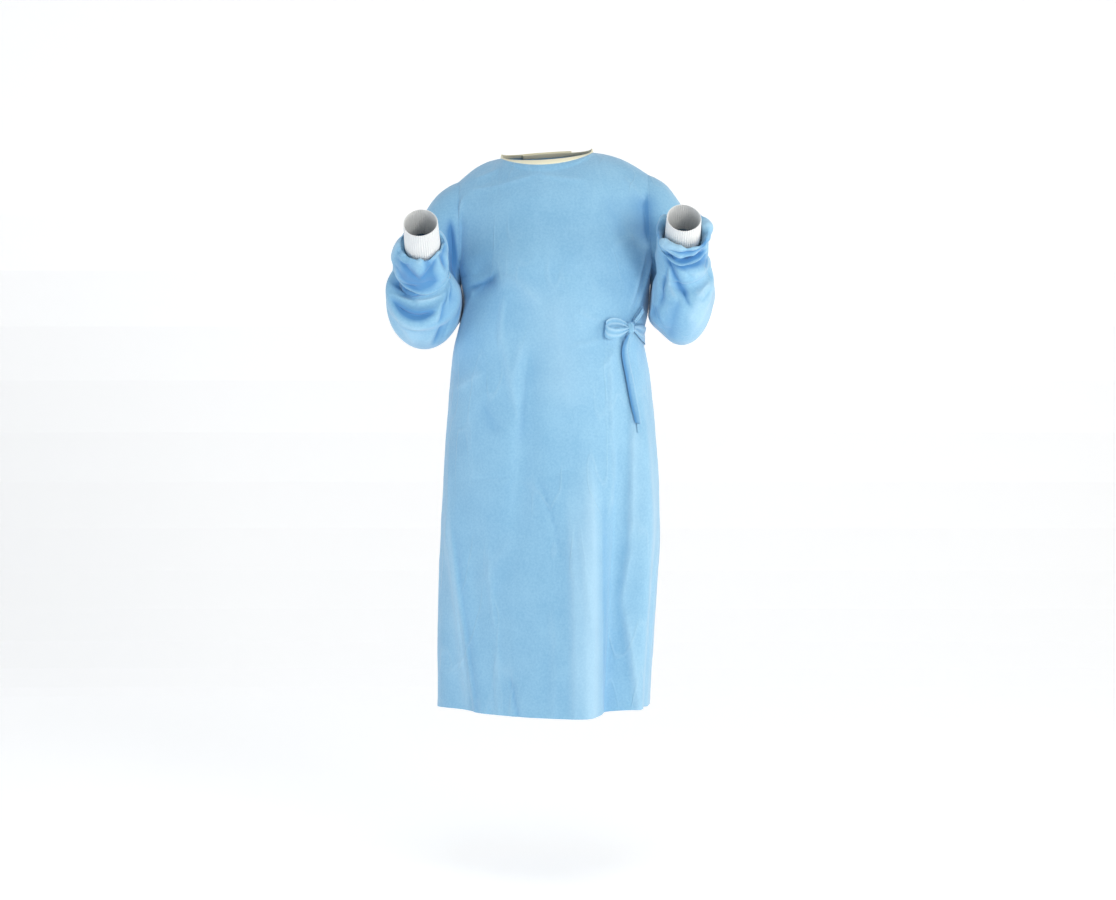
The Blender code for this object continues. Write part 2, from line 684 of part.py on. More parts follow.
def folded_sleeve_point(side, at, angle):
    at, angle = np.broadcast_arrays(np.asarray(at, float), np.asarray(angle, float))
    base = sleeve_point(side, at, angle)
    around = sleeve_point(side, at, angle + 2) - sleeve_point(side, at, angle - 2)
    before, after = np.clip(at - 0.004, 0, 1), np.clip(at + 0.004, 0, 1)
    along = sleeve_point(side, after, angle) - sleeve_point(side, before, angle)
    off = normalized(np.cross(along, around)) * SIDES[side]
    lift, slide = np.zeros_like(at), np.zeros_like(at)
    for place, width, middle, spread, height, roll in SLEEVE_FOLDS[side]:
        off_middle = turned_off(angle, middle) / spread
        strength = np.exp(-(((at - place) / width) ** 2) - off_middle**2)
        lift = lift + height * strength
        slide = slide + roll * strength
    return base + off * lift[..., None] - normalized(along) * slide[..., None]


def make_sleeve(side):
    count = len(sleeve_rings(side))
    at = np.linspace(0, 1, count)[:, None]
    angle = np.linspace(0, 360, 2 * ROWS_ABOVE, endpoint=False)[None]
    grid = folded_sleeve_point(side, at, angle)
    grid[0] += np.array((SIDES[side] * SEAM_ROUND, 0, 0))
    cloth_object(f"sleeve_{side}", grid, gown_cloth, WALL, closed=True, flip=SIDES[side] > 0)


def make_cuff(side):
    wrist, forward, upward = forearm(side)
    turn = np.linspace(0, 2 * math.pi, CUFF_SIDES, endpoint=False)[:, None]
    around = upward * np.cos(turn) + np.array((SIDES[side], 0, 0)) * np.sin(turn)
    rows = []
    for share in np.linspace(0, 1, CUFF_ROWS):
        radius = CUFF_SEAM_RADIUS + (CUFF_MOUTH_RADIUS - CUFF_SEAM_RADIUS) * share
        rows.append(wrist + forward * CUFF_LENGTH * share + around * radius)
    cloth_object(f"cuff_{side}", np.array(rows), knit, KNIT_WALL, closed=True, flip=SIDES[side] > 0)


def neck_path():
    """Points of the neckline's seam and the way up from each, from one back layer round to the other."""
    shares = back_columns(np.array([1.0]))[0]
    to_over, to_under = BACK_COLUMNS[0], BACK_COLUMNS[0] + BACK_COLUMNS[1]
    corner = 0.5 - NECK_SHARE / 2
    under = [s for s in shares[: to_under + 1] if s > corner - 0.001][::-1]
    over = [s for s in shares[to_over:] if s < 1 - corner + 0.001][::-1]
    front = [a for a in np.linspace(1, -1, FRONT_COLUMNS + 1) if abs(a) < NECK_SHARE - 0.001]
    starts = [back_point(s, 1.0) for s in under] + [body_point("front", a, 1.0) for a in front]
    lower = [back_point(s, BELOW_NECK) for s in under]
    lower += [body_point("front", a, BELOW_NECK) for a in front]
    for share in over:
        lift = over_lift(share, np.array(1.0))
        starts.append(back_point(share, 1.0, lift))
        lower.append(back_point(share, BELOW_NECK, lift))
    starts, lower = np.array(starts), np.array(lower)
    return starts, normalized(starts - lower)


def make_binding():
    starts, ups = neck_path()
    smooth = ups.copy()
    for _ in range(3):
        smooth[1:-1] = normalized(smooth[:-2] + 2 * smooth[1:-1] + smooth[2:])
    rows = [starts + smooth * (SEAM_ROUND / 2 + BINDING_WIDTH * share) for share in (0.0, 0.5, 1.0)]
    rows = np.array(rows)[:, ::-1]
    cloth_object("neck_binding", rows, binding_tape, BINDING_WALL, offset=-0.6)


def ribbon(name, table, samples, wall_side=0.0):
    """A flat tie laid along rows of angle, height, distance off the cloth, width and twist."""
    rows = np.array(table, float)
    columns = ("at",) + RIBBON_COLUMNS
    keyed = np.column_stack([np.linspace(0, 1, len(rows)), rows])
    at = np.linspace(0, 1, samples)
    angle, z, out, width, twist = (smooth_read(keyed, columns, n, at) for n in RIBBON_COLUMNS)
    reach = np.linalg.norm(place_on_cloth(angle, z, out)[:, :2], axis=1)
    turn = np.radians(twist)
    grid = []
    for share in (0.5, 0.17, -0.17, -0.5):
        sideways, upward = width * share * np.cos(turn), width * share * np.sin(turn)
        grid.append(place_on_cloth(angle + np.degrees(sideways / reach), z + upward, out))
    cloth_object(name, np.array(grid), gown_cloth, WALL, offset=wall_side)


def make_knot():
    seat = place_on_cloth(KNOT_ANGLE, KNOT_Z, RIBBON_SEAT)
    off = normalized(place_on_cloth(KNOT_ANGLE, KNOT_Z, RIBBON_SEAT + KNOT_HALF[0]) - seat)
    shape = bmesh.new()
    bmesh.ops.create_uvsphere(shape, u_segments=14, v_segments=8, radius=1.0)
    bmesh.ops.scale(shape, verts=shape.verts, vec=KNOT_HALF)
    mesh = bpy.data.meshes.new("tie_knot")
    shape.to_mesh(mesh)
    shape.free()
    mesh.shade_smooth()
    mesh.materials.append(gown_cloth)
    piece = bpy.data.objects.new("tie_knot", mesh)
    gown.objects.link(piece)
    piece.location = seat + off * KNOT_HALF[0]
    piece.rotation_euler = (0, 0, math.atan2(off[1], off[0]))


def make_tab():
    shares = np.linspace(TAB_FROM, TAB_TO, 9)[None]
    top = 1 - TAB_DROP / UPPER_HEIGHT
    levels = np.linspace(top - TAB_HEIGHT / UPPER_HEIGHT, top, 4)[:, None]
    start, end = (free_edge("over", levels) + one for one in TAB_STEP)
    step = LAYER * smoothstep((shares - start) / (end - start))
    grid = back_point(shares, levels, TAB_OUT + step)
    cloth_object("neck_tab", grid, tab_tape, WALL, offset=1.0)


for old in list(bpy.data.objects):
    bpy.data.objects.remove(old)
gown = bpy.data.collections.new("surgical_gown")
bpy.context.scene.collection.children.link(gown)
gown_cloth = material("gown_cloth", (0.33, 0.60, 0.83), 0.75)
knit = material("cuff_knit", (0.88, 0.88, 0.88), 0.95)
binding_tape = material("binding_tape", (0.90, 0.88, 0.66), 0.85)
tab_tape = material("tab_tape", (0.62, 0.78, 0.90), 0.85)

make_front()
make_backs()
for each_side in SIDES:
    make_sleeve(each_side)
    make_cuff(each_side)
make_binding()
ribbon("waist_tie_strap", STRAP, 21, wall_side=1.0)
make_knot()
ribbon("tie_loop_front", FRONT_LOOP, 21)
ribbon("tie_loop_side", SIDE_LOOP, 21)
ribbon("tie_tail_front", FRONT_TAIL, 17)
ribbon("tie_tail_side", SIDE_TAIL, 17)
make_tab()
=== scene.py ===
"""A surgical gown of light blue nonwoven cloth, filled out the way it hangs when it is worn.

The wearer would face -Y, and +X is the wearer's left. Lengths are metres. Round the
body, 0 degrees is the front, 90 the wearer's left side and 180 the back.
"""

import math

import bmesh
import bpy
import numpy as np
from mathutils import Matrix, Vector, noise


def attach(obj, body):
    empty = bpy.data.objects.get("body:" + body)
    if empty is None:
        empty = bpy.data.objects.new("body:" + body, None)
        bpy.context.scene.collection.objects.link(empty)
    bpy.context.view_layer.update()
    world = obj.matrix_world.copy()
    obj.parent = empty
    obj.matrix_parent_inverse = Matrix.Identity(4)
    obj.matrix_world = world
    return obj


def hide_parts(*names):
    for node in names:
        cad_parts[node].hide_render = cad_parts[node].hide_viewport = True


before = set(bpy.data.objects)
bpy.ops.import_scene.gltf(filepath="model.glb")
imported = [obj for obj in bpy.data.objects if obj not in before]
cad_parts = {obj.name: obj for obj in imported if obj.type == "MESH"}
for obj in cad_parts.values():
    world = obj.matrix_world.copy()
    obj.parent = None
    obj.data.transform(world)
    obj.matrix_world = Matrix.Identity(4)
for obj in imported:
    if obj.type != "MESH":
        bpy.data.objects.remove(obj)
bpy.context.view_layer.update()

# Cloth
SHEET = 0.0006  # thickness of the nonwoven sheet
CUFF_SHEET = 0.0014
TAB_SHEET = 0.0014
SEAM = 0.0003  # gap between two sewn edges
SEAM_ROUND = 0.0006  # the same where the cloth rolls over the shoulder
LAYER = 0.0036  # from one layer of the back to the next one over it

# Lengths down the body
HEM_Z = -1.185
ARMPIT_Z = -0.268

# Neck opening
NECK_HALF = 0.099
NECK_FRONT = 0.086
NECK_BACK = 0.064
NECK_DROP = 0.029  # how far the front of the neckline lies below its sides
NECK_RISE = 0.006
NECK_CURVE = 1.4  # exponent of how the neckline drops: above 1 it stays high at its sides
NECK_SHARE = 0.40  # share of a panel's width that ends at the neckline
BINDING_MIDDLE = 0.0030  # from the neckline's seam up to the folded tape's middle
BINDING_HALF = 0.0068
BINDING_THICK = 0.0024
BINDING_SIDES = 12
BINDING_EDGE = 0.5  # powers that fill out its round section, along and across
BINDING_FACE = 0.6
SHOULDER_Y = 0.007
SHOULDER_TILT = 0.065  # the wearer's left shoulder is the higher one
SHOULDER_CROWN = 0.010  # how far the shoulder seam arches

# A panel's levels run from 0 at the hem to 1 at its top edge. LOWER is the armpit's.
LOWER = 0.62
BELOW_NECK = 0.985  # a level just under the neckline's seam
TOP_EASE = 0.12  # levels over which the folds die out below the top edge
HOLE_EASE = 0.16  # share of the half width over which they die out at an armhole
ARMPIT_EASE = 0.05  # levels over which that starts above the armpit

# How a panel climbs from the armpit to its top edge. straight is the share of the rise
# that goes up first and lean how far it goes out. Just below the top edge the cloth
# stands out by stand and lies lower by dip, which the neck changes by its own two.
CLIMB_COLUMNS = ("straight", "lean", "stand", "neck_stand", "dip", "neck_dip")
CLIMBS = {
    "front": (0.48, -0.002, -0.075, 0.041, -0.004, -0.046),
    "back": (0.56, 0.012, 0.075, -0.041, -0.004, -0.024),
}

# The body's outline at each height. right_x is the wearer's right side.
SECTION_COLUMNS = ("z", "right_x", "left_x", "front_y", "back_y")
SECTIONS = (
    (-1.185, -0.240, 0.218, -0.176, 0.192),
    (-1.086, -0.240, 0.224, -0.175, 0.187),
    (-1.000, -0.239, 0.230, -0.174, 0.182),
    (-0.914, -0.236, 0.235, -0.173, 0.176),
    (-0.828, -0.230, 0.240, -0.172, 0.171),
    (-0.742, -0.225, 0.240, -0.173, 0.166),
    (-0.656, -0.220, 0.236, -0.169, 0.160),
    (-0.570, -0.214, 0.231, -0.166, 0.153),
    (-0.484, -0.207, 0.222, -0.163, 0.145),
    (-0.410, -0.198, 0.212, -0.159, 0.139),
    (-0.370, -0.187, 0.214, -0.157, 0.138),
    (-0.325, -0.179, 0.218, -0.154, 0.138),
    (-0.268, -0.186, 0.222, -0.149, 0.140),
)
SQUARENESS = 2.25  # exponent of the body's superellipse

# Long folds of the skirt and body. A fold runs from its top to its bottom, at an
# angle round the body at each end. It stands out by height, or in where that is
# below 0, and near and far are its widths towards smaller and larger angles.
FOLD_FADE = 0.12  # length over which a fold that ends above the hem dies out
# Columns: top_z, full_z, end_z, top_angle, bottom_angle, height, near, far
FOLDS = (
    # front, over the left leg
    (-0.52, -1.10, -1.60, 12, 17, 0.046, 20.0, 9.0),
    (-0.54, -0.90, -1.60, 34, 37, -0.020, 4.5, 10.0),
    (-0.44, -0.66, -1.60, 55, 57, 0.013, 8.0, 8.0),
    (-0.62, -0.95, -1.60, 77, 76, -0.011, 8.0, 9.0),
    # front, over the right leg
    (-0.60, -1.10, -1.60, -50, -45, -0.036, 24.0, 22.0),
    (-0.66, -1.00, -1.60, -68, -37, 0.014, 6.0, 9.0),
    (-0.70, -1.05, -1.60, -24, -19, -0.006, 9.0, 8.0),
    (-0.38, -0.50, -0.86, -8, -15, -0.008, 5.0, 6.0),
    (-0.62, -0.95, -1.60, -94, -96, -0.009, 9.0, 9.0),
    # from the armpit to the tie
    (-0.20, -0.27, -0.41, 76, 54, 0.005, 4.0, 7.0),
    # back
    (-0.50, -0.84, -1.60, 103, 104, 0.010, 8.0, 8.0),
    (-0.46, -0.80, -1.60, 127, 125, 0.017, 9.0, 8.0),
    (-0.48, -0.84, -1.60, 146, 144, -0.011, 8.0, 8.0),
    (-0.40, -0.76, -1.60, 165, 163, 0.020, 9.0, 9.0),
    (-0.50, -0.86, -1.60, 187, 186, -0.010, 9.0, 9.0),
    (-0.42, -0.80, -1.60, 207, 208, 0.019, 9.0, 10.0),
    (-0.52, -0.88, -1.60, 229, 229, -0.010, 8.0, 9.0),
    (-0.46, -0.82, -1.60, 248, 247, 0.013, 8.0, 9.0),
)

# Hollows in the cloth: in front of each armpit, and where the tie draws it in.
# Columns: angle, z, angle_spread, z_spread, depth
DENTS = (
    (-50, -0.262, 13, 0.040, 0.013),
    (57, -0.125, 12, 0.050, 0.009),
    (96, -0.388, 34, 0.030, 0.006),
    (180, -0.300, 40, 0.110, 0.007),
)

# Free edges of the two back panels, as shares of the way from the wearer's
# left side seam, 0, to the right side seam, 1. level is 0 at the hem and 1 on top.
FREE_EDGE_COLUMNS = ("level", "under", "over")
FREE_EDGES = (
    (0.00, 0.7200, 0.2400),
    (0.36, 0.7200, 0.2400),
    (0.50, 0.7150, 0.2500),
    (0.62, 0.6900, 0.2900),
    (0.72, 0.6600, 0.3300),
    (0.84, 0.6250, 0.3720),
    (1.00, 0.5714, 0.4286),
)
OVER_START = 0.02  # from the lower layer's free edge
OVER_RAMP = 0.13  # share over which the top layer comes down to its side seam

# How far the hem rises at places round it.
# Columns: angle, spread, rise
HEM_RISES = ((58, 24, 0.008), (-62, 30, 0.006))

# Armholes: the shoulder point on top, the underarm point at the bottom.
ARMHOLE_COLUMNS = ("top_x", "top_z", "bottom_x", "bottom_z", "front_y", "back_y")
ARMHOLES = {
    "left": (0.216, -0.041, 0.222, -0.268, -0.066, 0.080),
    "right": (0.189, -0.057, 0.186, -0.268, -0.066, 0.080),
}
ARMHOLE_PULL = 2.5  # exponent of how a panel bends towards its armholes
SIDES = {"left": 1, "right": -1}

# Sleeves. The rings fan round a crease inside the elbow, which lies at crease_y
# and crease_z, and the cuff's seam is at wrist.
CREASE_RADIUS = 0.016
FORE_SLOPE = 33.0  # how steeply the forearm rises towards the hand
SLEEVES = {
    "left": {"crease_y": -0.094, "crease_z": -0.206, "wrist": (0.278, -0.197, -0.208)},
    "right": {"crease_y": -0.092, "crease_z": -0.218, "wrist": (0.254, -0.199, -0.218)},
}
# Rings from the armhole to the elbow. share is the way from the armhole ring to
# the first ring of the elbow's fan, and swell how far the sleeve's cap stands out.
UPPER_RINGS = ((0.0, 0.0), (0.16, 0.006), (0.34, 0.009), (0.54, 0.008), (0.77, 0.004))
# Rings of the fan: how far it has turned, the ring's depth and half width, the
# middle's distance from the body's centre plane, and the ring's sideways lean.
FAN_COLUMNS = ("turn", "depth", "half_width", "x", "lean")
FANS = {
    "left": (
        (0, 0.162, 0.083, 0.2655, 61),
        (-22, 0.180, 0.073, 0.2790, 43),
        (-42, 0.196, 0.067, 0.2870, 24),
        (-60, 0.204, 0.064, 0.2890, 11),
        (-78, 0.195, 0.063, 0.2885, 4),
        (-98, 0.166, 0.064, 0.286, 0),
        (-123, 0.134, 0.063, 0.285, 0),
    ),
    "right": (
        (0, 0.164, 0.0800, 0.2360, 54),
        (-22, 0.182, 0.0770, 0.2490, 36),
        (-42, 0.196, 0.0770, 0.2580, 18),
        (-60, 0.200, 0.0775, 0.2605, 4),
        (-78, 0.191, 0.0775, 0.2610, 1),
        (-98, 0.166, 0.075, 0.262, 0),
        (-123, 0.138, 0.070, 0.262, 0),
    ),
}
FAN_RINGS = 11
# The forearm as far as its lip, which rolls back inside down to the cuff's seam.
# along is the distance from the seam towards the hand.
# Columns: along, radius
FORES = {
    "left": (
        (-0.068, 0.0610),
        (-0.050, 0.0585),
        (-0.030, 0.0565),
        (-0.012, 0.0560),
        (0.003, 0.0545),
        (0.014, 0.0515),
        (0.022, 0.0560),
        (0.032, 0.0590),
        (0.040, 0.0555),
        (0.042, 0.0500),
        (0.036, 0.0440),
        (0.022, 0.0400),
        (0.000, 0.0374),
    ),
    "right": (
        (-0.071, 0.0590),
        (-0.060, 0.0620),
        (-0.048, 0.0660),
        (-0.032, 0.0655),
        (-0.014, 0.0605),
        (0.000, 0.0545),
        (0.010, 0.0490),
        (0.014, 0.0440),
        (0.009, 0.0396),
        (0.004, 0.0380),
        (0.000, 0.0374),
    ),
}
# Folds across a sleeve. at is the place along its rings, 0 to 1, and angle the
# place round it: 0 the inside of the elbow, 90 the side away from the body and
# 180 the elbow. roll leans a fold towards the elbow.
# Columns: at, width, angle, spread, height, roll
SLEEVE_FOLDS = {
    "left": (
        (0.22, 0.040, 60, 60, -0.005, 0.0),
        (0.32, 0.040, 115, 60, 0.004, 0.0),
        (0.40, 0.035, 235, 55, -0.005, 0.0),
        (0.48, 0.025, 265, 45, -0.005, 0.0),
        (0.600, 0.030, 170, 60, 0.004, 0.0),
        (0.675, 0.018, 192, 65, -0.007, 0.0),
        (0.712, 0.016, 188, 65, 0.002, 0.005),
    ),
    "right": (
        (0.22, 0.040, 70, 60, -0.005, 0.0),
        (0.32, 0.040, 115, 70, 0.004, 0.0),
        (0.40, 0.035, 240, 55, -0.005, 0.0),
        (0.505, 0.018, 175, 65, -0.007, 0.0),
        (0.545, 0.020, 178, 65, 0.005, 0.005),
        (0.596, 0.018, 182, 75, -0.014, 0.0),
        (0.650, 0.028, 184, 75, 0.007, 0.014),
    ),
}

# Cuffs
CUFF_LENGTH = 0.078
CUFF_SEAM_RADIUS = 0.0370
CUFF_MOUTH_RADIUS = 0.0355

# Waist tie, knotted over the left front. out is the distance off the cloth.
KNOT_ANGLE = 49.0
KNOT_Z = -0.3785
KNOT_HALF = (0.009, 0.0074, 0.013)  # off the cloth, along it and up
RIBBON_SEAT = 0.0008
RIBBON_COLUMNS = ("angle", "z", "out", "width", "twist")
STRAP = (
    (142, -0.384, 0.0046, 0.034, 90),
    (136, -0.385, 0.0046, 0.034, 90),
    (130, -0.386, 0.0034, 0.034, 90),
    (124, -0.387, 0.0012, 0.034, 90),
    (112, -0.389, 0.0008, 0.034, 90),
    (100, -0.390, 0.0008, 0.034, 90),
    (88, -0.390, 0.0008, 0.034, 90),
    (76, -0.388, 0.0008, 0.034, 90),
    (66, -0.384, 0.0016, 0.028, 90),
    (58, -0.380, 0.0040, 0.018, 90),
    (52.2, -0.3785, 0.0088, 0.010, 90),
)
# Each loop leaves the knot, turns back on itself and returns to the knot.
FRONT_LOOP = (
    (46.3, -0.3760, 0.0080, 0.010, 90),
    (42.5, -0.3715, 0.0036, 0.016, 90),
    (38.0, -0.3690, 0.0015, 0.020, 90),
    (33.5, -0.3700, 0.0015, 0.022, 90),
    (30.2, -0.3760, 0.0036, 0.024, 90),
    (29.4, -0.3840, 0.0080, 0.025, 90),
    (31.0, -0.3905, 0.0122, 0.025, 90),
    (35.0, -0.3925, 0.0136, 0.023, 90),
    (40.0, -0.3895, 0.0130, 0.019, 90),
    (43.5, -0.3850, 0.0120, 0.013, 90),
    (46.2, -0.3815, 0.0112, 0.010, 90),
)
SIDE_LOOP = (
    (51.9, -0.3670, 0.0080, 0.008, -42),
    (54.2, -0.3600, 0.0036, 0.010, -42),
    (56.8, -0.3510, 0.0015, 0.011, -42),
    (59.0, -0.3420, 0.0018, 0.012, -42),
    (60.2, -0.3365, 0.0050, 0.012, -42),
    (59.4, -0.3385, 0.0092, 0.012, -42),
    (57.0, -0.3480, 0.0112, 0.011, -42),
    (54.4, -0.3580, 0.0116, 0.010, -42),
    (51.9, -0.3655, 0.0112, 0.008, -42),
)
FRONT_TAIL = (
    (48.2, -0.3925, 0.0118, 0.009, 0),
    (46.9, -0.4060, 0.0075, 0.014, 2),
    (46.0, -0.4260, 0.0042, 0.019, 4),
    (45.9, -0.4500, 0.0044, 0.021, 2),
    (46.6, -0.4800, 0.0044, 0.022, -4),
    (47.5, -0.5120, 0.0044, 0.021, -8),
    (48.3, -0.5450, 0.0044, 0.019, -10),
    (49.0, -0.5800, 0.0044, 0.016, -10),
)
SIDE_TAIL = (
    (50.4, -0.3925, 0.0088, 0.008, 0),
    (51.0, -0.4060, 0.0044, 0.012, 0),
    (51.3, -0.4300, 0.0016, 0.016, -2),
    (51.2, -0.4600, 0.0014, 0.018, -2),
    (51.0, -0.4950, 0.0014, 0.018, 0),
    (50.9, -0.5300, 0.0014, 0.018, 0),
    (50.8, -0.5650, 0.0014, 0.018, 0),
    (50.8, -0.6000, 0.0014, 0.018, 0),
)

# Hook-and-loop tab that closes the neck behind. Its places are shares of the
# back, as for the free edges.
TAB_FROM = 0.385
TAB_TO = 0.462
TAB_DROP = 0.012  # from the neckline's seam to the tab's top edge
TAB_HEIGHT = 0.026
TAB_OUT = 0.0008
TAB_STEP = (-0.035, -0.005)  # where it climbs onto the top layer, from the free edge
UPPER_HEIGHT = 0.36  # length along the back that a level of 1 stands for up there

# Panel grids, 4 mm or so apart
ROWS_BELOW = 216
ROWS_ABOVE = 90
FRONT_COLUMNS = 158
BACK_COLUMNS = (34, 66, 34)  # left seam to top free edge, to under free edge, to right seam
TO_OVER = BACK_COLUMNS[0]
TO_UNDER = TO_OVER + BACK_COLUMNS[1]
NEAR = 0.004  # a small step along a panel or a sleeve, to find the way off it
NEAR_ANGLE = 2

# The sheet's small unevenness: its height, how far apart it is, and how fast it changes
# up and down beside across. The long one is there only below the waist.
WAIST_Z = -0.45
WAIST_EASE = 0.25  # length below the waist over which it starts
NO_WAIST = -9.0  # below the whole gown
RUMPLES = {
    "fine": (0.0004, 0.030, 1),
    "broad": (0.0012, 0.075, 0.8),
    "long": (0.0010, 0.040, 0.22),
    "crisp": (0.0005, 0.060, 0.6),
}
PANEL_SEED = 1
SLEEVE_SEED = 5
SEED_SHIFT = (7.3, 3.1, 5.7)  # how far a seed moves the noise
NECK_SOFT = 0.30  # how widely the bend below the neckline's corners is softened
SOFT_STEPS = 3  # places on each side that a softened place is the mean of
SOFT_WIDTH = 1.8  # how widely they count, in steps
SOFT_ROOM = 0.9  # share of the way to the panel's side that they may reach
SOFT_TOP = 0.07  # levels over which that dies out at the top edge and above the armpit
SOFT_BOTTOM = 0.10
CREASE_TOP = 0.05  # levels over which creases die out at the top edge
CREASE_SIDE = 0.06  # share of the half width over which they die out at the side seams

# Sleeve grids, 2 mm or so apart along a sleeve and 4 mm round it
SLEEVE_GRID = (310, 150)
PATH_SAMPLES = 400
ELBOW = 180.0  # angle round a sleeve
ROWS_BY_LENGTH = 0.7  # share of the rows that is spread by the sleeve's length at the elbow
SEAM_TUCK = 0.988  # how far a sleeve's edge is drawn in, to lie under the armhole's edge
TUCK_STEP = 0.002  # how far that edge is pushed towards the body
SLEEVE_START = 0.035  # shares of a sleeve over which its creases start and end
SLEEVE_END = 0.08
FACE_EDGE = 1.6  # how sharply one face's creases give way to the next one's
OUTER_FROM = 0.4  # how far round the outer face starts
BODY_EDGE = 1.4  # the same for what stands out towards the body
SLEEVE_CLEAR = 0.0015  # least way from a sleeve to the gown's side and to its cuff
CLEAR_BELOW = 0.012  # lengths over which a sleeve comes to be kept clear of each
CLEAR_PAST = 0.003
SLEEVE_SHADE_TONE = 1.8  # how much more strongly a sleeve's creases are painted with shade and highlight than a panel's are
SEAM_SHADE_EASE = 0.22  # share of a sleeve over which the front's painted crease shade and highlight go on past the armhole
# Waves round a sleeve near its cuff. They start at a place along it.
GATHER_FROM = 0.64
GATHER_EASE = 0.22  # share of the sleeve over which they grow
# Columns: count, angle of the first one, height
GATHERS = {
    "left": (
        (2, 35.0, 0.0035),
        (3, 80.0, 0.0030),
        (5, 10.0, 0.0018),
        (9, 31.0, 0.0016),
        (14, 5.0, 0.0008),
    ),
    "right": (
        (2, 70.0, 0.0020),
        (5, 22.0, 0.0022),
        (8, 40.0, 0.0018),
        (13, 12.0, 0.0010),
    ),
}
# How a sleeve stands out towards the body or is drawn in from it: by how much, at what
# height, how far that reaches up and down, and at what depth it starts and is full.
# Columns: height, z, reach_up, reach_down, y_none, y_full
INNER_SHAPE = {
    "left": (
        (0.013, -0.350, 0.060, 0.024, -0.16, -0.10),
        (-0.011, -0.250, 0.040, 0.050, -0.10, -0.14),
    ),
    "right": (
        (0.0105, -0.325, 0.050, 0.045, -0.16, -0.10),
        (-0.016, -0.240, 0.040, 0.050, -0.10, -0.14),
    ),
}

# Cuff, tie and stitches
CUFF_GRID = (16, 384)
CUFF_RIBS = 48
CUFF_RIB_DEPTH = 0.0012
CUFF_SLACK = 0.0007  # how far the cuff's mouth is from round
CUFF_TURN = 1.1  # how far round the mouth's long way lies, in radians
CUFF_THIRD = 0.6  # how much of that unevenness comes three times round instead of twice
RIBBON_SIDES = 13
RIBBON_ROWS = 90
PLEATS = 2  # pleats across a tie
PLEAT_DRIFT = 3  # how far they wander along it, in radians
PLEAT_REST = 0.25  # how high they stay where the tie lies flat
PLEAT_LIFT = 1.1  # how far they are lifted off the cloth, in their own height
PLEAT_SHADE_TONE = 2.6  # how much more strongly a tie's pleats are painted with shade in their troughs and highlight on their crests than a panel's creases are
RIDGE_EASE = 0.15  # share of a tie over which its middle fold starts
RIDGE_POWER = 0.8  # exponent of that fold's slope
KNOT_RINGS = 21
KNOT_SIDES = 36
KNOT_FOLD = 0.10  # depth of the folds round the knot, as a share of its size
KNOT_FOLDS = 5
KNOT_TWIST = 2.2  # how far they wind up over half the knot, in radians
KNOT_TIP = 0.0004
STITCH_LENGTH = 0.0026
STITCH_PITCH = 0.0034
THREAD_RADIUS = 0.00025
STITCH_INSET = 0.010  # from a seam, as a share of a panel's half width
SEAM_SAMPLES = 90
SEAM_TOP = 0.996  # level at which the stitches round an armhole end
SIDE_SAMPLES = 160
SHOULDER_SAMPLES = 40
SHOULDER_LEVEL = 0.992
SHOULDER_END = 0.985  # share of the half width at which they end on a shoulder
NECK_GAP = 0.03  # from the binding, as a share of the half width
SEAM_SPARE = 0.002  # levels left free at the armpit, and SIDE_SPARE at the hem
SIDE_SPARE = 0.003
NECK_SMOOTHINGS = 40  # times that the way up from the neckline is evened out
CORNER_SPARE = 0.001  # so that a column right at a corner of the neckline counts
BINDING_ROW = 0.6  # place of the binding's stitches, down from its middle
TAB_SHARE_IN = 0.006  # how far the tab's stitches lie in from its edges
TAB_IN = 0.003
TAB_SAMPLES = (30, 10, 30, 10)
TAB_GRID = (16, 60)

# Creases, in millimetres across and up as seen from the front or the back. A crease runs
# from its top to its end, bowed to one side by bow. It stands out by height, and left
# and right are its widths on the -X and the +X side of a crease that runs down.
CREST = 1.2  # exponent of a crease's profile: below 2 its crest is sharper
STROKE_EASE = 0.3  # share of a crease's length over which it starts and ends
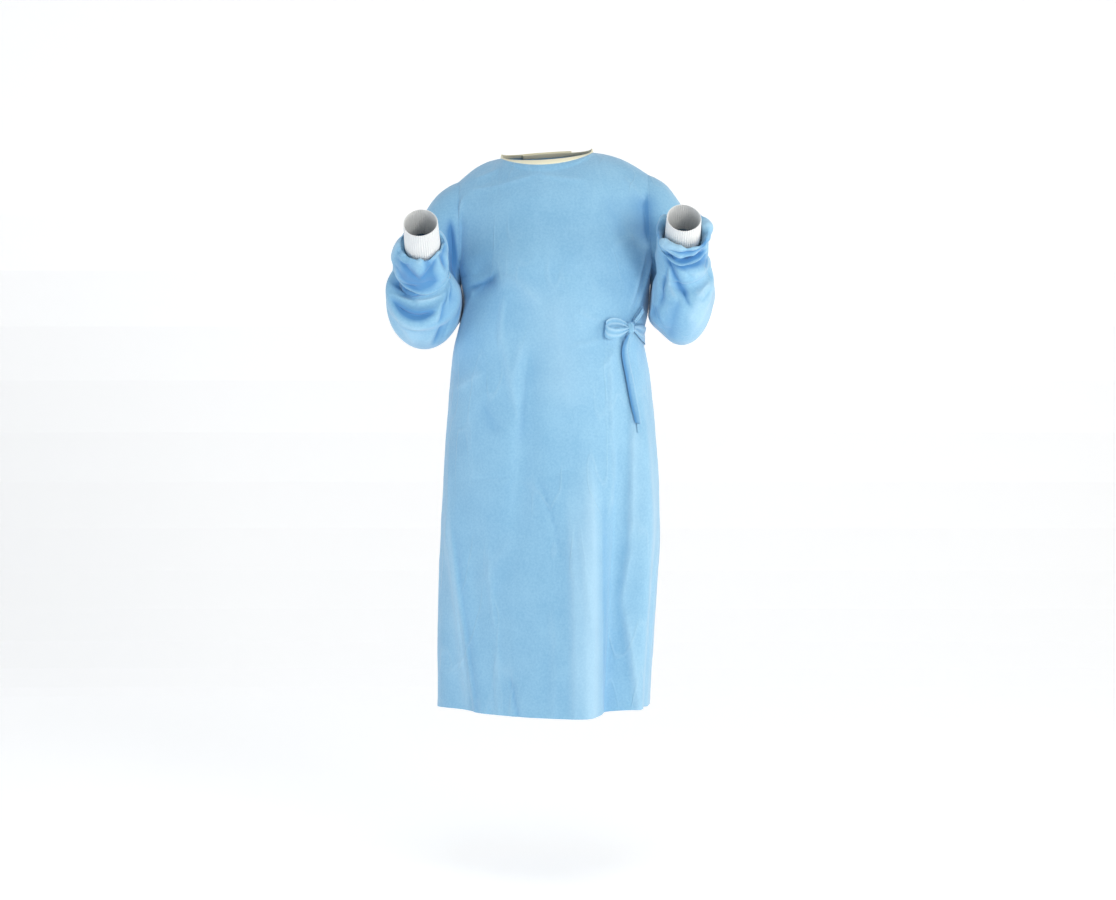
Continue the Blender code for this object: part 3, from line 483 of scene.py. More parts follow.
# Columns: x_top, z_top, x_end, z_end, bow, left, right, height
FRONT_CREASES = (
    (90, -593, 94, -1338, 4.1, 26.9, 14.5, 11),
    (115, -634, 119, -1338, 2.1, 5.4, 14.5, -6.5),
    (40, -675, 51, -1276, 8.3, 5, 16.6, 4.6),
    (63, -748, 109, -1110, -4.1, 4.6, 5.8, 2.4),
    (177, -520, 169, -887, 2.1, 5.4, 16.6, 7),
    (173, -820, 150, -969, 0, 5, 14.5, 5.5),
    (148, -913, 198, -1276, 4.1, 5.4, 16.6, 7.5),
    (129, -417, 135, -644, 2.1, 5, 6.6, 3.4),
    (133, -593, 125, -783, 10.3, 5, 5.8, 4),
    (181, -448, 185, -638, 0, 5, 6.6, 2.4),
    (-221, -675, -146, -1296, -2.1, 18.6, 5.4, 7.5),
    (-206, -717, -129, -1296, -2.1, 4.6, 14.5, -4),
    (-206, -593, -208, -893, 0, 4.1, 5.2, 3),
    (11, -261, 53, -593, -6.2, 62.1, 49.7, 5),
    (227, -530, 229, -1245, 0, 24.8, 24.8, 4),
    (-88, -299, -96, -431, -2.1, 6.2, 8.3, 3.4),
    (-98, -375, -51, -624, 0, 6.2, 8.3, 3),
    (-49, -396, -74, -499, 0, 6.2, 7.2, 2.4),
    (-30, -417, -55, -644, -4.1, 12.4, 10.3, -4),
    (-82, -307, -86, -417, 0, 4.6, 4.6, -1.8),
    (-100, -257, -3, -344, 4.1, 14.5, 16.6, 4),
    (-204, -512, -123, -466, 0, 10.3, 12.4, 4),
    (-142, -520, -96, -613, 0, 16.6, 16.6, -2.8),
    (-34, -659, 34, -899, 14.5, 4.6, 4.6, -3.4),
    (-121, -820, -100, -1044, -6.2, 4.8, 5.2, 3.4),
    (-107, -1007, -92, -1296, -2.1, 4.6, 5, 4.4),
    (-78, -1085, -45, -1234, -2.1, 4.8, 5.2, -4.6),
    (1, -899, 5, -1245, 12.4, 6.2, 7.2, 2.4),
    (-214, -1108, -167, -1071, 0, 3.9, 3.9, 2.2),
    (-163, -1131, -144, -1245, 0, 5.2, 5.2, -2.4),
    (-206, -706, -28, -684, 2.1, 4.6, 4.6, -1.3),
    (-55, -779, -158, -944, 4.1, 18.6, 18.6, 2.2),
    (-3, -696, 59, -671, 2.1, 4.6, 4.6, -1.2),
    (-100, -261, -175, -292, 6.2, 4.6, 20.7, -10),
    (-167, -309, -134, -282, 0, 4.1, 4.6, 3.8),
    (-152, -290, -198, -473, -6.2, 5.4, 10.3, 5.6),
    (214, -75, 222, -212, -4.1, 35.2, 16.6, -10),
    (229, -183, 181, -361, 4.1, 4.3, 4.3, 5.2),
    (212, -191, 167, -361, 4.1, 4.3, 4.3, 4),
    (193, -174, 135, -212, 2.1, 14.5, 14.5, 3.2),
    (-183, -83, -3, -46, -10.3, 6.2, 8.3, 2.8),
    (-34, -50, 94, -67, -4.1, 5.2, 8.3, 2.6),
    (-158, -59, -96, -34, -2.1, 4.8, 4.8, 2.4),
    (-196, -162, -173, -88, 0, 5.2, 5.2, 4),
    (-190, -257, -179, -127, 0, 10.3, 10.3, -4.5),
    (160, -50, 218, -108, -4.1, 5.2, 6.2, 2.8),
    (111, -85, 162, -210, 6.2, 18.6, 18.6, -2.4),
    (144, -417, 106, -473, 4.1, 4.8, 5.2, 2.2),
    (121, -369, 57, -336, 4.1, 4.8, 5.2, 2.2),
    (115, -402, 49, -419, 2.1, 4.8, 5.2, 1.9),
    (185, -413, 193, -473, 0, 4.8, 5.2, 2.2),
)
BACK_CREASES = (
    (206, 11, 84, -145, 8.9, 8.9, 8.9, 2.2),
    (-105, 11, -5, -156, -8.9, 8.9, 8.9, 2),
    (-172, -189, -61, -300, 6.7, 8.9, 13.4, 3),
    (220, -200, 117, -323, -6.7, 13.4, 8.9, 3.2),
    (-172, -300, -181, -567, 4.4, 8.9, 11.1, 2.6),
    (-61, -367, -79, -678, 6.7, 8.9, 13.4, 2.4),
    (33, -389, 19, -745, -6.7, 11.1, 11.1, -2.4),
    (126, -378, 144, -678, 4.4, 6.7, 11.1, 2.6),
    (-128, -590, -172, -1057, 8.9, 11.1, 6.7, 3.6),
    (-16, -678, 1, -1190, -8.9, 6.7, 13.4, 3),
    (95, -656, 82, -1324, 6.7, 6.7, 13.4, 4),
    (166, -612, 193, -1324, -6.7, 13.4, 5.3, 4.6),
    (-61, -879, -79, -1324, 4.4, 6.7, 6.7, 2.6),
    (-172, -990, -150, -1324, 0, 5.3, 11.1, 3),
    (41, -1012, 55, -1324, 0, 6.7, 6.7, -2.4),
    (-205, -701, 162, -683, 2.2, 4.9, 4.9, -0.8),
    (131, -879, 206, -968, 4.4, 4.9, 5.3, 1.6),
    (-205, -879, -105, -946, -4.4, 4.9, 5.3, 1.4),
    (217, -434, 117, -460, 4.4, 6.7, 6.7, 1.8),
    (28, -55, 10, -300, 2.2, 20, 20, -2.2),
)
SLEEVE_CREASES = {
    "left": (
        (216, -224, 352, -224, -17.4, 14.4, 5.3, -14),
        (216, -210, 352, -210, -17.4, 4.9, 8.2, 5),
        (249, -244, 354, -224, -19.5, 5.3, 15.4, -13),
        (253, -261, 352, -240, -19.5, 10.3, 4.9, 5),
        (237, -228, 298, -320, -8.2, 6.2, 7.4, -9),
        (262, -249, 305, -285, 0, 4.9, 4.9, -4),
        (280, -294, 300, -343, -2.1, 4.9, 5.3, -6),
        (245, -244, 272, -333, -6.2, 5.7, 5.7, 4.4),
        (241, -249, 218, -396, 6.2, 5.7, 5.7, -7),
        (225, -312, 274, -421, -4.1, 4.9, 5.3, -5.5),
        (214, -298, 227, -398, 0, 4.9, 4.9, -5),
        (223, -339, 249, -417, -2.1, 4.9, 4.9, 4.2),
        (235, -320, 259, -400, -2.1, 5.7, 4.9, 3.8),
        (344, -269, 294, -400, 10.3, 18.5, 14.4, 5),
        (276, -310, 257, -404, -2.1, 16.4, 16.4, -4),
        (307, -322, 341, -283, 2.1, 4.5, 4.5, 4),
        (317, -331, 341, -298, 0, 4.3, 4.3, -4),
        (305, -300, 329, -322, 0, 4.3, 4.3, 3.4),
        (321, -343, 341, -314, 0, 4.5, 4.5, 2.8),
        (292, -372, 321, -322, 4.1, 12.3, 12.3, 2.6),
        (325, -244, 344, -283, 0, 4.5, 4.5, -3),
    ),
    "right": (
        (-333, -279, -204, -283, -23.6, 5.3, 17.4, -15),
        (-333, -300, -202, -302, -23.6, 12.3, 5.3, 7),
        (-329, -308, -212, -339, -39, 5.3, 20.5, -17),
        (-325, -326, -216, -355, -39, 12.3, 5.3, 6),
        (-313, -236, -257, -298, -2.1, 5.3, 7, -7),
        (-204, -236, -272, -298, 4.1, 5.3, 7, -7),
        (-315, -249, -298, -294, 0, 4.7, 4.7, -5),
        (-300, -230, -251, -257, 2.1, 7, 7, 3),
        (-308, -308, -263, -329, 0, 4.5, 8.2, -5),
        (-194, -265, -233, -429, 10.3, 4.9, 5.3, -6),
        (-206, -285, -255, -441, 12.3, 5.3, 5.3, -6.5),
        (-181, -257, -206, -388, 8.2, 4.9, 5.3, -5),
        (-216, -320, -261, -429, 6.2, 5.7, 5.7, 4.2),
        (-200, -298, -226, -417, 8.2, 4.9, 5.3, 4.6),
        (-187, -318, -173, -380, 0, 4.5, 4.5, -3.6),
        (-208, -132, -194, -294, 4.1, 10.3, 5.3, -12),
        (-194, -298, -169, -388, 0, 8.2, 6.2, -6),
        (-280, -232, -257, -251, 0, 4.1, 4.1, -3.5),
        (-304, -384, -235, -402, -6.2, 10.3, 12.3, 3),
        (-308, -355, -274, -421, 2.1, 7, 8.2, 2.8),
        (-276, -372, -218, -363, -8.2, 6.2, 10.3, -3.4),
    ),
}
HIDDEN_CREASES = {
    "left": (
        (240, -90, 330, -150, 6, 6, 10, 4.5),
        (235, -160, 330, -205, 10, 4, 12, -6),
        (230, -200, 335, -245, 12, 10, 4, 5),
        (240, -240, 330, -290, 12, 4, 12, -6),
        (250, -300, 320, -320, 8, 8, 5, 4),
        (268, -120, 290, -210, -4, 5, 6, 3),
    ),
    "right": (
        (-215, -100, -300, -160, -6, 10, 6, 4.5),
        (-205, -170, -305, -215, -10, 12, 4, -6),
        (-205, -210, -310, -255, -12, 4, 10, 5),
        (-215, -250, -305, -300, -12, 12, 4, -6),
        (-225, -310, -300, -335, -8, 5, 8, 4),
        (-250, -130, -262, -220, 4, 6, 5, 3),
    ),
}
# On the outer sides of both sleeves, across from front to back and up
OUTER_CREASES = (
    (-70, -130, 60, -230, 12, 5, 10, 5),
    (-100, -190, 50, -270, 14, 4, 12, -6.5),
    (-95, -205, 45, -290, 14, 9, 4, 4.5),
    (-115, -215, 0, -330, 16, 4, 12, -6),
    (-120, -225, -50, -345, 10, 8, 5, 4),
    (-40, -110, 30, -180, -4, 4, 6, 3),
    (-125, -205, -180, -270, -6, 5, 8, -5),
    (20, -90, 60, -170, 4, 5, 6, -3),
)

# Patterns of the cloth
CRINKLE = 0.050  # between the fine crinkles of handled cloth
CRINKLE_PATCH = CRINKLE / 0.3  # from one crinkled area to the next
CRINKLE_STRETCH = (1.0, 1.0, 0.30)  # crinkles run more up and down than across
CRINKLE_DETAIL = 0.6
CRINKLE_LINE = 0.030  # how wide a crinkle's line is, as a share of the noise's range
CRINKLE_AREA = (0.48, 0.60)  # the noise values between which crinkled areas start
CRINKLE_SHOWS = 0.12  # how much of the crest's pale colour a crinkle takes
FIBRE_CLOUD = 0.0045  # fibre clouds, drawn a little coarse so that they show
FIBRE_PATCH = 0.060
FIBRE_FINE = 0.0012
CLOUD_SHARE = 0.65  # of the cloth's unevenness. The rest comes from the patches.
CLOTH_SPAN = (0.38, 0.62)  # the noise values that give the darkest and the lightest cloth
WELD_PITCH = 0.0022  # welded dots are about 1.5 mm apart, drawn a little coarser
WELD_EDGE = (0.18, 0.34)  # how far out a dot starts to end and has ended, in its pitch
KNIT_ROW = 0.0022
WAVE_SCALE = 0.314  # the wave texture's scale at which one row is a unit long
TAPE_GRAIN = 0.0012
CLOTH_DARK = "#7FB6DA"
CLOTH_LIGHT = "#8EC2E2"
CREST_WHITE_AND_HIGHLIGHT = "#BBDCF0"  # creased nonwoven whitens along a sharp crest; on broad raised folds this pale is painted highlight
# Painted shade in the hollows of folds and creases
PIT_SHADE = "#4B8EC7"
# The crease heights at which cloth starts to pale, as crease whitening and painted highlight, and
# to darken with painted shade in a hollow, and has done so, and how far
CREST_WHITE_AND_HIGHLIGHT_TONE = (0.0006, 0.008, 0.34)
PIT_SHADE_TONE = (-0.0006, -0.012, 0.95)
# Painted shade between the knit's rows, and the white of its rib tops
KNIT_GROOVE_SHADE = "#DADDDF"
KNIT_LIGHT = "#EEF0F0"

# Stage, lights and camera
FLOOR_Z = -1.535
STAGE_HALF = 14.0
STAGE_FRONT = -9.0
STAGE_BACK = 3.0
STAGE_CURVE = 2.0
STAGE_TOP = 9.0
STAGE_STEPS = 12  # in the floor's curve
STAGE_SHEET = 0.01
PAPER_GLOW = 0.34  # light that the backdrop gives off itself
AIR_COLOUR = "#F4F7FA"
AIR_STRENGTH = 0.40
# Columns: name, place, the height it is aimed at, size, watts, colour
LIGHTS = (
    ("key", (2.3, -3.9, -0.1), -0.6, 1.1, 69, "#FFFAF2"),
    ("side", (4.2, -1.0, -0.3), -0.6, 1.2, 56, "#FFF1E0"),
    ("fill", (-3.4, -1.6, -0.2), -0.6, 1.6, 28, "#F4F9FF"),
    ("top", (0.2, -1.2, 2.6), -0.5, 1.6, 21, "#F6FAFF"),
)
CAMERA_PLACE = (0.0237, -4.3, -0.634)
LENS_MM = 64.5
SENSOR_MM = 36.0


def smooth_read(table, columns, name, at):
    """A column of a table at some value of its first column, on one smooth curve."""
    rows = np.asarray(table, float)
    if rows[0, 0] > rows[-1, 0]:
        rows = rows[::-1]
    x, y = rows[:, 0], rows[:, columns.index(name)]
    slope = np.gradient(y, x)
    at = np.clip(np.asarray(at, float), x[0], x[-1])
    i = np.clip(np.searchsorted(x, at) - 1, 0, len(x) - 2)
    step = x[i + 1] - x[i]
    t = (at - x[i]) / step
    return (
        (2 * t**3 - 3 * t**2 + 1) * y[i]
        + (t**3 - 2 * t**2 + t) * step * slope[i]
        + (3 * t**2 - 2 * t**3) * y[i + 1]
        + (t**3 - t**2) * step * slope[i + 1]
    )


def smoothstep(value):
    t = np.clip(value, 0, 1)
    return t * t * (3 - 2 * t)


def superellipse(value):
    return np.sign(value) * np.abs(value) ** (2 / SQUARENESS)


def stack(x, y, z):
    return np.stack(np.broadcast_arrays(x, y, z), axis=-1).astype(float)


def normalized(vectors):
    return vectors / np.linalg.norm(vectors, axis=-1, keepdims=True)


def round_angle(face, across):
    """The angle round the body of a place across the front or the back."""
    return 90 * across if face == "front" else 180 - 90 * across


def turned_off(angle, middle):
    """How far an angle lies from another one, -180 to 180."""
    return (angle - middle + 180) % 360 - 180


def section_point(angle, z):
    """A point on the plain body, with no folds, at an angle and a height."""
    names = SECTION_COLUMNS[1:]
    right, left, front, back = (smooth_read(SECTIONS, SECTION_COLUMNS, n, z) for n in names)
    turn = np.radians(angle)
    across, along = superellipse(np.sin(turn)), superellipse(np.cos(turn))
    x = (left + right) / 2 + (left - right) / 2 * across
    y = np.where(along > 0, front * along, -back * along)
    return stack(x, y, z)


def armhole_point(side, angle):
    """A point of an armhole: -90 the underarm, 0 the front, 90 the shoulder, 180 the back."""
    hole = dict(zip(ARMHOLE_COLUMNS, ARMHOLES[side]))
    turn = np.radians(angle)
    rise, fore = np.sin(turn), np.cos(turn)
    ends = (("top_x", "bottom_x", rise), ("front_y", "back_y", fore), ("top_z", "bottom_z", rise))
    x, y, z = ((hole[a] + hole[b]) / 2 + (hole[a] - hole[b]) / 2 * way for a, b, way in ends)
    return stack(SIDES[side] * x, y, z)


def top_edge(face, across):
    """The seam along the top of the front or the back, from side to side, -1 to 1 in X."""
    reach = np.abs(across)
    side = np.sign(across)
    turn = math.pi / 2 * np.clip(reach / NECK_SHARE, 0, 1)
    depth = -NECK_FRONT if face == "front" else NECK_BACK
    height = -NECK_DROP if face == "front" else NECK_RISE
    neck = stack(
        side * NECK_HALF * np.sin(turn),
        SHOULDER_Y + (depth - SHOULDER_Y) * np.cos(turn),
        height * np.cos(turn) ** NECK_CURVE + SHOULDER_TILT * side * NECK_HALF * np.sin(turn),
    )
    way = np.clip((reach - NECK_SHARE) / (1 - NECK_SHARE), 0, 1)
    left, right = armhole_point("left", 90), armhole_point("right", 90)
    end = np.where((side > 0)[..., None], left, right)
    start = stack(side * NECK_HALF, SHOULDER_Y, SHOULDER_TILT * side * NECK_HALF)
    crown = SHOULDER_CROWN * np.sin(math.pi * way)
    shoulder = start + (end - start) * way[..., None] + stack(0, 0, crown)
    return np.where((reach < NECK_SHARE)[..., None], neck, shoulder)


def climb_point(face, across, t):
    """A point above the armpit, t of the way up, as it is before the armholes draw it in."""
    form = dict(zip(CLIMB_COLUMNS, CLIMBS[face]))
    low, high = section_point(round_angle(face, across), ARMPIT_Z), top_edge(face, across)
    at_neck = 1 - smoothstep(np.abs(across) / NECK_SHARE)
    above_low = low + stack(0, form["lean"], form["straight"] * (high[..., 2] - ARMPIT_Z))
    stand = form["stand"] + form["neck_stand"] * at_neck
    dip = form["dip"] + form["neck_dip"] * at_neck
    below_high = high + stack(0, stand, dip)
    t = np.asarray(t)[..., None]
    s = 1 - t
    return low * s**3 + 3 * above_low * t * s**2 + 3 * below_high * t**2 * s + high * t**3


def upper_point(face, across, t):
    """A point above the armpit, t of the way up to the top edge."""
    point = climb_point(face, across, t)
    for name, side in SIDES.items():
        turn = -90 + 180 * t
        hole = armhole_point(name, turn if face == "front" else 180 - turn)
        at_edge = climb_point(face, np.full_like(across, side), t)
        near = np.clip(side * across, 0, 1)[..., None]
        point = point + (hole - at_edge) * near**ARMHOLE_PULL
    return point


def plain_point(face, across, level):
    """A point on the panels with no folds. across runs from -1 to 1 in X."""
    across, level = np.broadcast_arrays(np.asarray(across, float), np.asarray(level, float))
    low = np.clip(level / LOWER, None, 1)
    z = HEM_Z + (ARMPIT_Z - HEM_Z) * low
    angle = round_angle(face, across)
    rise = 0.0
    for middle, spread, up in HEM_RISES:
        rise = rise + up * np.exp(-((turned_off(angle, middle) / spread) ** 2))
    below = section_point(angle, z) + stack(0, 0, rise * (1 - low) ** 2)
    above = upper_point(face, np.clip(across, -1, 1), np.clip((level - LOWER) / (1 - LOWER), 0, 1))
    return np.where((level > LOWER)[..., None], above, below)


def outward(face, across, level):
    """The direction that points off the cloth."""
    side_low, side_high = np.clip(across - NEAR, -1, 1), np.clip(across + NEAR, -1, 1)
    low, high = np.clip(level - NEAR, 0, 1), np.clip(level + NEAR, 0, 1)
    side = plain_point(face, side_high, level) - plain_point(face, side_low, level)
    up = plain_point(face, across, high) - plain_point(face, across, low)
    normal = normalized(np.cross(side, up))
    return normal if face == "front" else -normal


def fold_height(angle, z):
    """How far the folds and hollows move the cloth off the plain body."""
    total = np.zeros_like(angle)
    for top, full, end, top_angle, bottom_angle, height, near, far in FOLDS:
        way = np.clip((top - z) / (top - max(end, HEM_Z)), 0, 1)
        off = turned_off(angle, top_angle + (bottom_angle - top_angle) * way)
        width = np.where(off < 0, near, far)
        strength = smoothstep((top - z) / (top - full)) * smoothstep((z - end) / FOLD_FADE)
        total = total + height * strength * np.exp(-((off / width) ** 2))
    for middle, height, angle_spread, z_spread, depth in DENTS:
        off = turned_off(angle, middle)
        up = (z - height) / z_spread
        total = total - depth * np.exp(-((off / angle_spread) ** 2) - up**2)
    return total


def body_point(face, across, level, out=0.0):
    """A point on the folded cloth of the front or the back, moved off it by out."""
    across, level = np.broadcast_arrays(np.asarray(across, float), np.asarray(level, float))
    plain = plain_point(face, across, level)
    at_top = smoothstep((1 - level) / TOP_EASE)
    at_hole = smoothstep((1 - np.abs(across)) / HOLE_EASE)
    ease = smoothstep((level - LOWER) / ARMPIT_EASE)
    free = at_top * (1 + (at_hole - 1) * ease)
    lift = fold_height(round_angle(face, across), plain[..., 2]) * free + out
    return plain + outward(face, across, level) * lift[..., None]


def free_edge(name, levels):
    return smooth_read(FREE_EDGES, FREE_EDGE_COLUMNS, name, levels)


def back_columns(levels):
    """Shares of the back's columns at each level. Both back panels keep to them."""
    first, second, last = BACK_COLUMNS
    over, under = free_edge("over", levels)[:, None], free_edge("under", levels)[:, None]
    left = over * np.linspace(0, 1, first + 1)[None]
    middle = over + (under - over) * np.linspace(0, 1, second + 1)[None, 1:]
    right = under + (1 - under) * np.linspace(0, 1, last + 1)[None, 1:]
    return np.concatenate([left, middle, right], axis=1)


def over_lift(share, levels):
    """How far the top layer of the back lies off the plain back."""
    start = free_edge("under", levels) + OVER_START
    return LAYER * (1 - smoothstep((share - start) / OVER_RAMP))


def forearm(side):
    """The middle of the cuff's seam, the way towards the hand and the way up from it."""
    slope = math.radians(FORE_SLOPE)
    forward = np.array((0, -math.cos(slope), math.sin(slope)))
    upward = np.array((0, math.sin(slope), math.cos(slope)))
    x, y, z = SLEEVES[side]["wrist"]
    return np.array((SIDES[side] * x, y, z)), forward, upward


def sleeve_rings(side):
    """The rings of a sleeve as middles, inner arms and side arms, from the armhole to the cuff."""
    sign, place = SIDES[side], SLEEVES[side]
    fan = FANS[side]
    rings = []
    for turn in np.linspace(0, fan[-1][0], FAN_RINGS):
        read = (smooth_read(fan, FAN_COLUMNS, n, turn) for n in FAN_COLUMNS[1:])
        depth, half_width, x, lean = read
        way = np.array((0, math.cos(math.radians(turn)), math.sin(math.radians(turn))))
        start = np.array((sign * x, place["crease_y"], place["crease_z"]))
        inner, outer = start + way * CREASE_RADIUS, start + way * (CREASE_RADIUS + depth)
        tilt = math.radians(lean)
        arm = half_width * np.array((sign * math.cos(tilt), 0, math.sin(tilt)))
        rings.append(((inner + outer) / 2, (inner - outer) / 2, arm))
    first = [armhole_point(side, angle) for angle in (-90, 0, 90, 180)]
    hole_middle = (first[0] + first[2]) / 2
    hole = (hole_middle, (first[1] - first[3]) / 2, (first[2] - first[0]) / 2)
    upper = []
    for share, swell in UPPER_RINGS:
        middle, inner, arm = (a + (b - a) * share for a, b in zip(hole, rings[0]))
        cap = np.array((sign * swell, 0, swell)) / 2
        upper.append((middle + cap, inner, arm + cap))
    wrist, forward, upward = forearm(side)
    lower = []
    for along, radius in FORES[side]:
        middle = wrist + forward * along
        lower.append((middle, upward * radius, np.array((sign * radius, 0, 0))))
    return upper + rings + lower


def sleeve_point(side, at, angle):
    """A point on a plain sleeve: at runs over its rings, 0 to 1, and angle runs round it."""
    rings = sleeve_rings(side)
    table = np.array([np.concatenate(ring) for ring in rings])
    places = np.linspace(0, 1, len(rings))
    columns = ("at",) + tuple(f"c{i}" for i in range(table.shape[1]))
    rows = np.column_stack([places, table])
    value = np.stack([smooth_read(rows, columns, n, at) for n in columns[1:]], axis=-1)
    middle, inner, arm = value[..., 0:3], value[..., 3:6], value[..., 6:9]
    turn = np.radians(angle)[..., None]
    return middle + inner * np.cos(turn) + arm * np.sin(turn)


def folded_sleeve_point(side, at, angle):
    at, angle = np.broadcast_arrays(np.asarray(at, float), np.asarray(angle, float))
    base = sleeve_point(side, at, angle)
    after, before = (sleeve_point(side, at, angle + step) for step in (NEAR_ANGLE, -NEAR_ANGLE))
    around = after - before
    before, after = np.clip(at - NEAR, 0, 1), np.clip(at + NEAR, 0, 1)
    along = sleeve_point(side, after, angle) - sleeve_point(side, before, angle)
    off = normalized(np.cross(along, around)) * SIDES[side]
    lift, slide = np.zeros_like(at), np.zeros_like(at)
    for place, width, middle, spread, height, roll in SLEEVE_FOLDS[side]:
        off_middle = turned_off(angle, middle) / spread
        strength = np.exp(-(((at - place) / width) ** 2) - off_middle**2)
        lift = lift + height * strength
        slide = slide + roll * strength
    return base + off * lift[..., None] - normalized(along) * slide[..., None]


def inset(grid, first, last, bottom, top):
    """Moves a grid's four edges in along the cloth, to leave the gaps at its seams."""
    grid = grid.copy()
    grid[:, 0] += normalized(grid[:, 1] - grid[:, 0]) * first
    grid[:, -1] += normalized(grid[:, -2] - grid[:, -1]) * last
    grid[0] += normalized(grid[1] - grid[0]) * bottom
    grid[-1] += normalized(grid[-2] - grid[-1]) * top
    return grid


def crease_height(table, across, up):
    """How far a table's creases move the cloth, at places given across and up in metres."""
    total = np.zeros(np.broadcast(across, up).shape)
    for crease in table:
        x_top, z_top, x_end, z_end, bow, left, right, height = (value / 1000 for value in crease)
        run, fall = x_end - x_top, z_end - z_top
        length = math.hypot(run, fall)
        t = ((across - x_top) * run + (up - z_top) * fall) / length**2
        off = ((up - z_top) * run - (across - x_top) * fall) / length - bow * 4 * t * (1 - t)
        width = np.where(off < 0, left, right)
        strength = smoothstep(t / STROKE_EASE) * smoothstep((1 - t) / STROKE_EASE)
        total += height * strength * np.exp(-(np.abs(off / width) ** CREST))
    return total


def crumple(points, stretch, size, seed):
    """Soft creases with no direction, from -1 to 1, about size apart."""
    shift = Vector([seed * one for one in SEED_SHIFT])
    scaled = points.reshape(-1, 3) * np.array(stretch) / size
    values = [noise.noise(Vector(point) + shift) for point in scaled]
    return np.array(values).reshape(points.shape[:-1])


def rumple(points, low, seed):
    """The small unevenness of the sheet. Below a height it runs up and down."""
    total = 0.0
    for step, (kind, (height, size, upright)) in enumerate(RUMPLES.items()):
        wave = crumple(points, (1, 1, upright), size, seed + step)
        if kind == "long":
            wave = wave * smoothstep((low - points[..., 2]) / WAIST_EASE)
        if kind == "crisp":
            wave = 0.5 - np.abs(wave) * 2
        total = total + height * wave
    return total


def soft_point(face, across, level):
    """A point on the folded cloth, with the bend below the neckline's corners made soft."""
    base = body_point(face, across, level)
    room = 1 - np.abs(across)
    spread = np.minimum(NECK_SOFT * smoothstep(room / NECK_SOFT), SOFT_ROOM * room)
    spread = spread * smoothstep((1 - level) / SOFT_TOP)
    spread = spread * smoothstep((level - LOWER) / SOFT_BOTTOM)
    soft = np.flatnonzero(spread.ravel() > 0)
    if not len(soft):
        return base
    soft_across, soft_level, soft_spread = (one.ravel()[soft] for one in (across, level, spread))
    total, weights = 0.0, 0.0
    for step in range(-SOFT_STEPS, SOFT_STEPS + 1):
        weight = math.exp(-((step / SOFT_WIDTH) ** 2))
        beside = soft_across + step / SOFT_STEPS * soft_spread
        total = total + weight * body_point(face, beside, soft_level)
        weights += weight
    flat = base.reshape(-1, 3)
    flat[soft] = total / weights
    return flat.reshape(base.shape)


def cloth_point(face, across, level, out=0.0):
    """A point on the front or the back with its creases, moved off it by out."""
    across, level = np.broadcast_arrays(np.asarray(across, float), np.asarray(level, float))
    base = soft_point(face, across, level)
    table = FRONT_CREASES if face == "front" else BACK_CREASES
    at_top = smoothstep((1 - level) / CREASE_TOP)
    at_side = smoothstep((1 - np.abs(across)) / CREASE_SIDE)
    lift = crease_height(table, base[..., 0], base[..., 2]) * at_top * at_side
    lift = lift + rumple(base, WAIST_Z, PANEL_SEED) * at_top
    return base + outward(face, across, level) * (lift + out)[..., None]


def place_on_cloth(angle, z, out):
    """A point on the creased cloth, at an angle and a height below the armpit."""
    angle, z, out = (np.asarray(one, float) for one in np.broadcast_arrays(angle, z, out))
    level = (z - HEM_Z) / (ARMPIT_Z - HEM_Z) * LOWER
    on_front = cloth_point("front", np.clip(angle / 90, -1, 1), level, out)
    on_back = cloth_point("back", np.clip((180 - angle) / 90, -1, 1), level, out)
    return np.where((angle <= 90)[..., None], on_front, on_back)


def mesh_object(name, points, faces, finish, uv=None):
    """A smooth mesh piece, with a map in metres of cloth where there is one."""
    mesh = bpy.data.meshes.new(name)
    mesh.from_pydata([tuple(point) for point in points], [], faces)
    if uv is not None:
        layer = mesh.uv_layers.new(name="cloth")
        corners = np.empty(len(mesh.loops), np.int32)
        mesh.loops.foreach_get("vertex_index", corners)
        layer.data.foreach_set("uv", uv[corners].reshape(-1))
    mesh.shade_smooth()
    mesh.materials.append(finish)
    piece = bpy.data.objects.new(name, mesh)
    bpy.context.scene.collection.objects.link(piece)
    return piece


def keep_values(mesh, name, kind, values):
    """Stores a named number or arrow at each of a mesh's points."""
    layer = mesh.attributes.new(name, kind, "POINT")
    field = "vector" if kind == "FLOAT_VECTOR" else "value"
    layer.data.foreach_set(field, values.reshape(-1).astype(np.float32))


def sheet_object(name, grid, finish, wall, closed=False, flip=False, offset=-1.0, tone=None):
    """A thin sheet through a grid of points, rows by columns. tone is its creases' height, from
    which the material paints shade in the pits and whitening and highlight on the crests.
    """
    rows, columns = grid.shape[:2]
    count = rows * columns
    index = np.arange(count).reshape(rows, columns)
    right = np.roll(index, -1, axis=1) if closed else index[:, 1:]
    left = index if closed else index[:, :-1]
    faces = np.stack([left[:-1], right[:-1], right[1:], left[1:]], axis=-1).reshape(-1, 4)
    if flip:
        faces = faces[:, ::-1]
    along, up = (grid_lengths(grid, axis) for axis in (1, 0))
    uv = np.stack([along, up], axis=-1).reshape(-1, 2).astype(np.float32)
    off = sheet_normals(grid, closed) * (-1 if flip else 1)
    outer = grid + off * wall * (1 + offset) / 2
    inner = grid - off * wall * (1 - offset) / 2
    border = [index[0], index[-1]]
    if not closed:
        border = [index[0], index[:, -1], index[-1][::-1], index[:, 0][::-1]]
    rims = []
    for line in border:
        turned = np.append(line, line[0]) if closed else line
        a, b = turned[:-1], turned[1:]
        rim = np.stack([a, a + count, b + count, b], axis=-1)
        rims.append(rim[:, ::-1] if (closed and line[0] == index[-1][0]) != flip else rim)
    faces = np.concatenate([faces, faces[:, ::-1] + count] + rims)
    points = np.concatenate([outer.reshape(-1, 3), inner.reshape(-1, 3)])
    piece = mesh_object(name, points, faces.tolist(), finish, np.concatenate([uv, uv]))
    sharpen(piece.data, np.unique(np.concatenate(border)), count)
    if tone is not None:
        keep_values(piece.data, "crease", "FLOAT", np.tile(tone.reshape(-1), 2))
    return piece


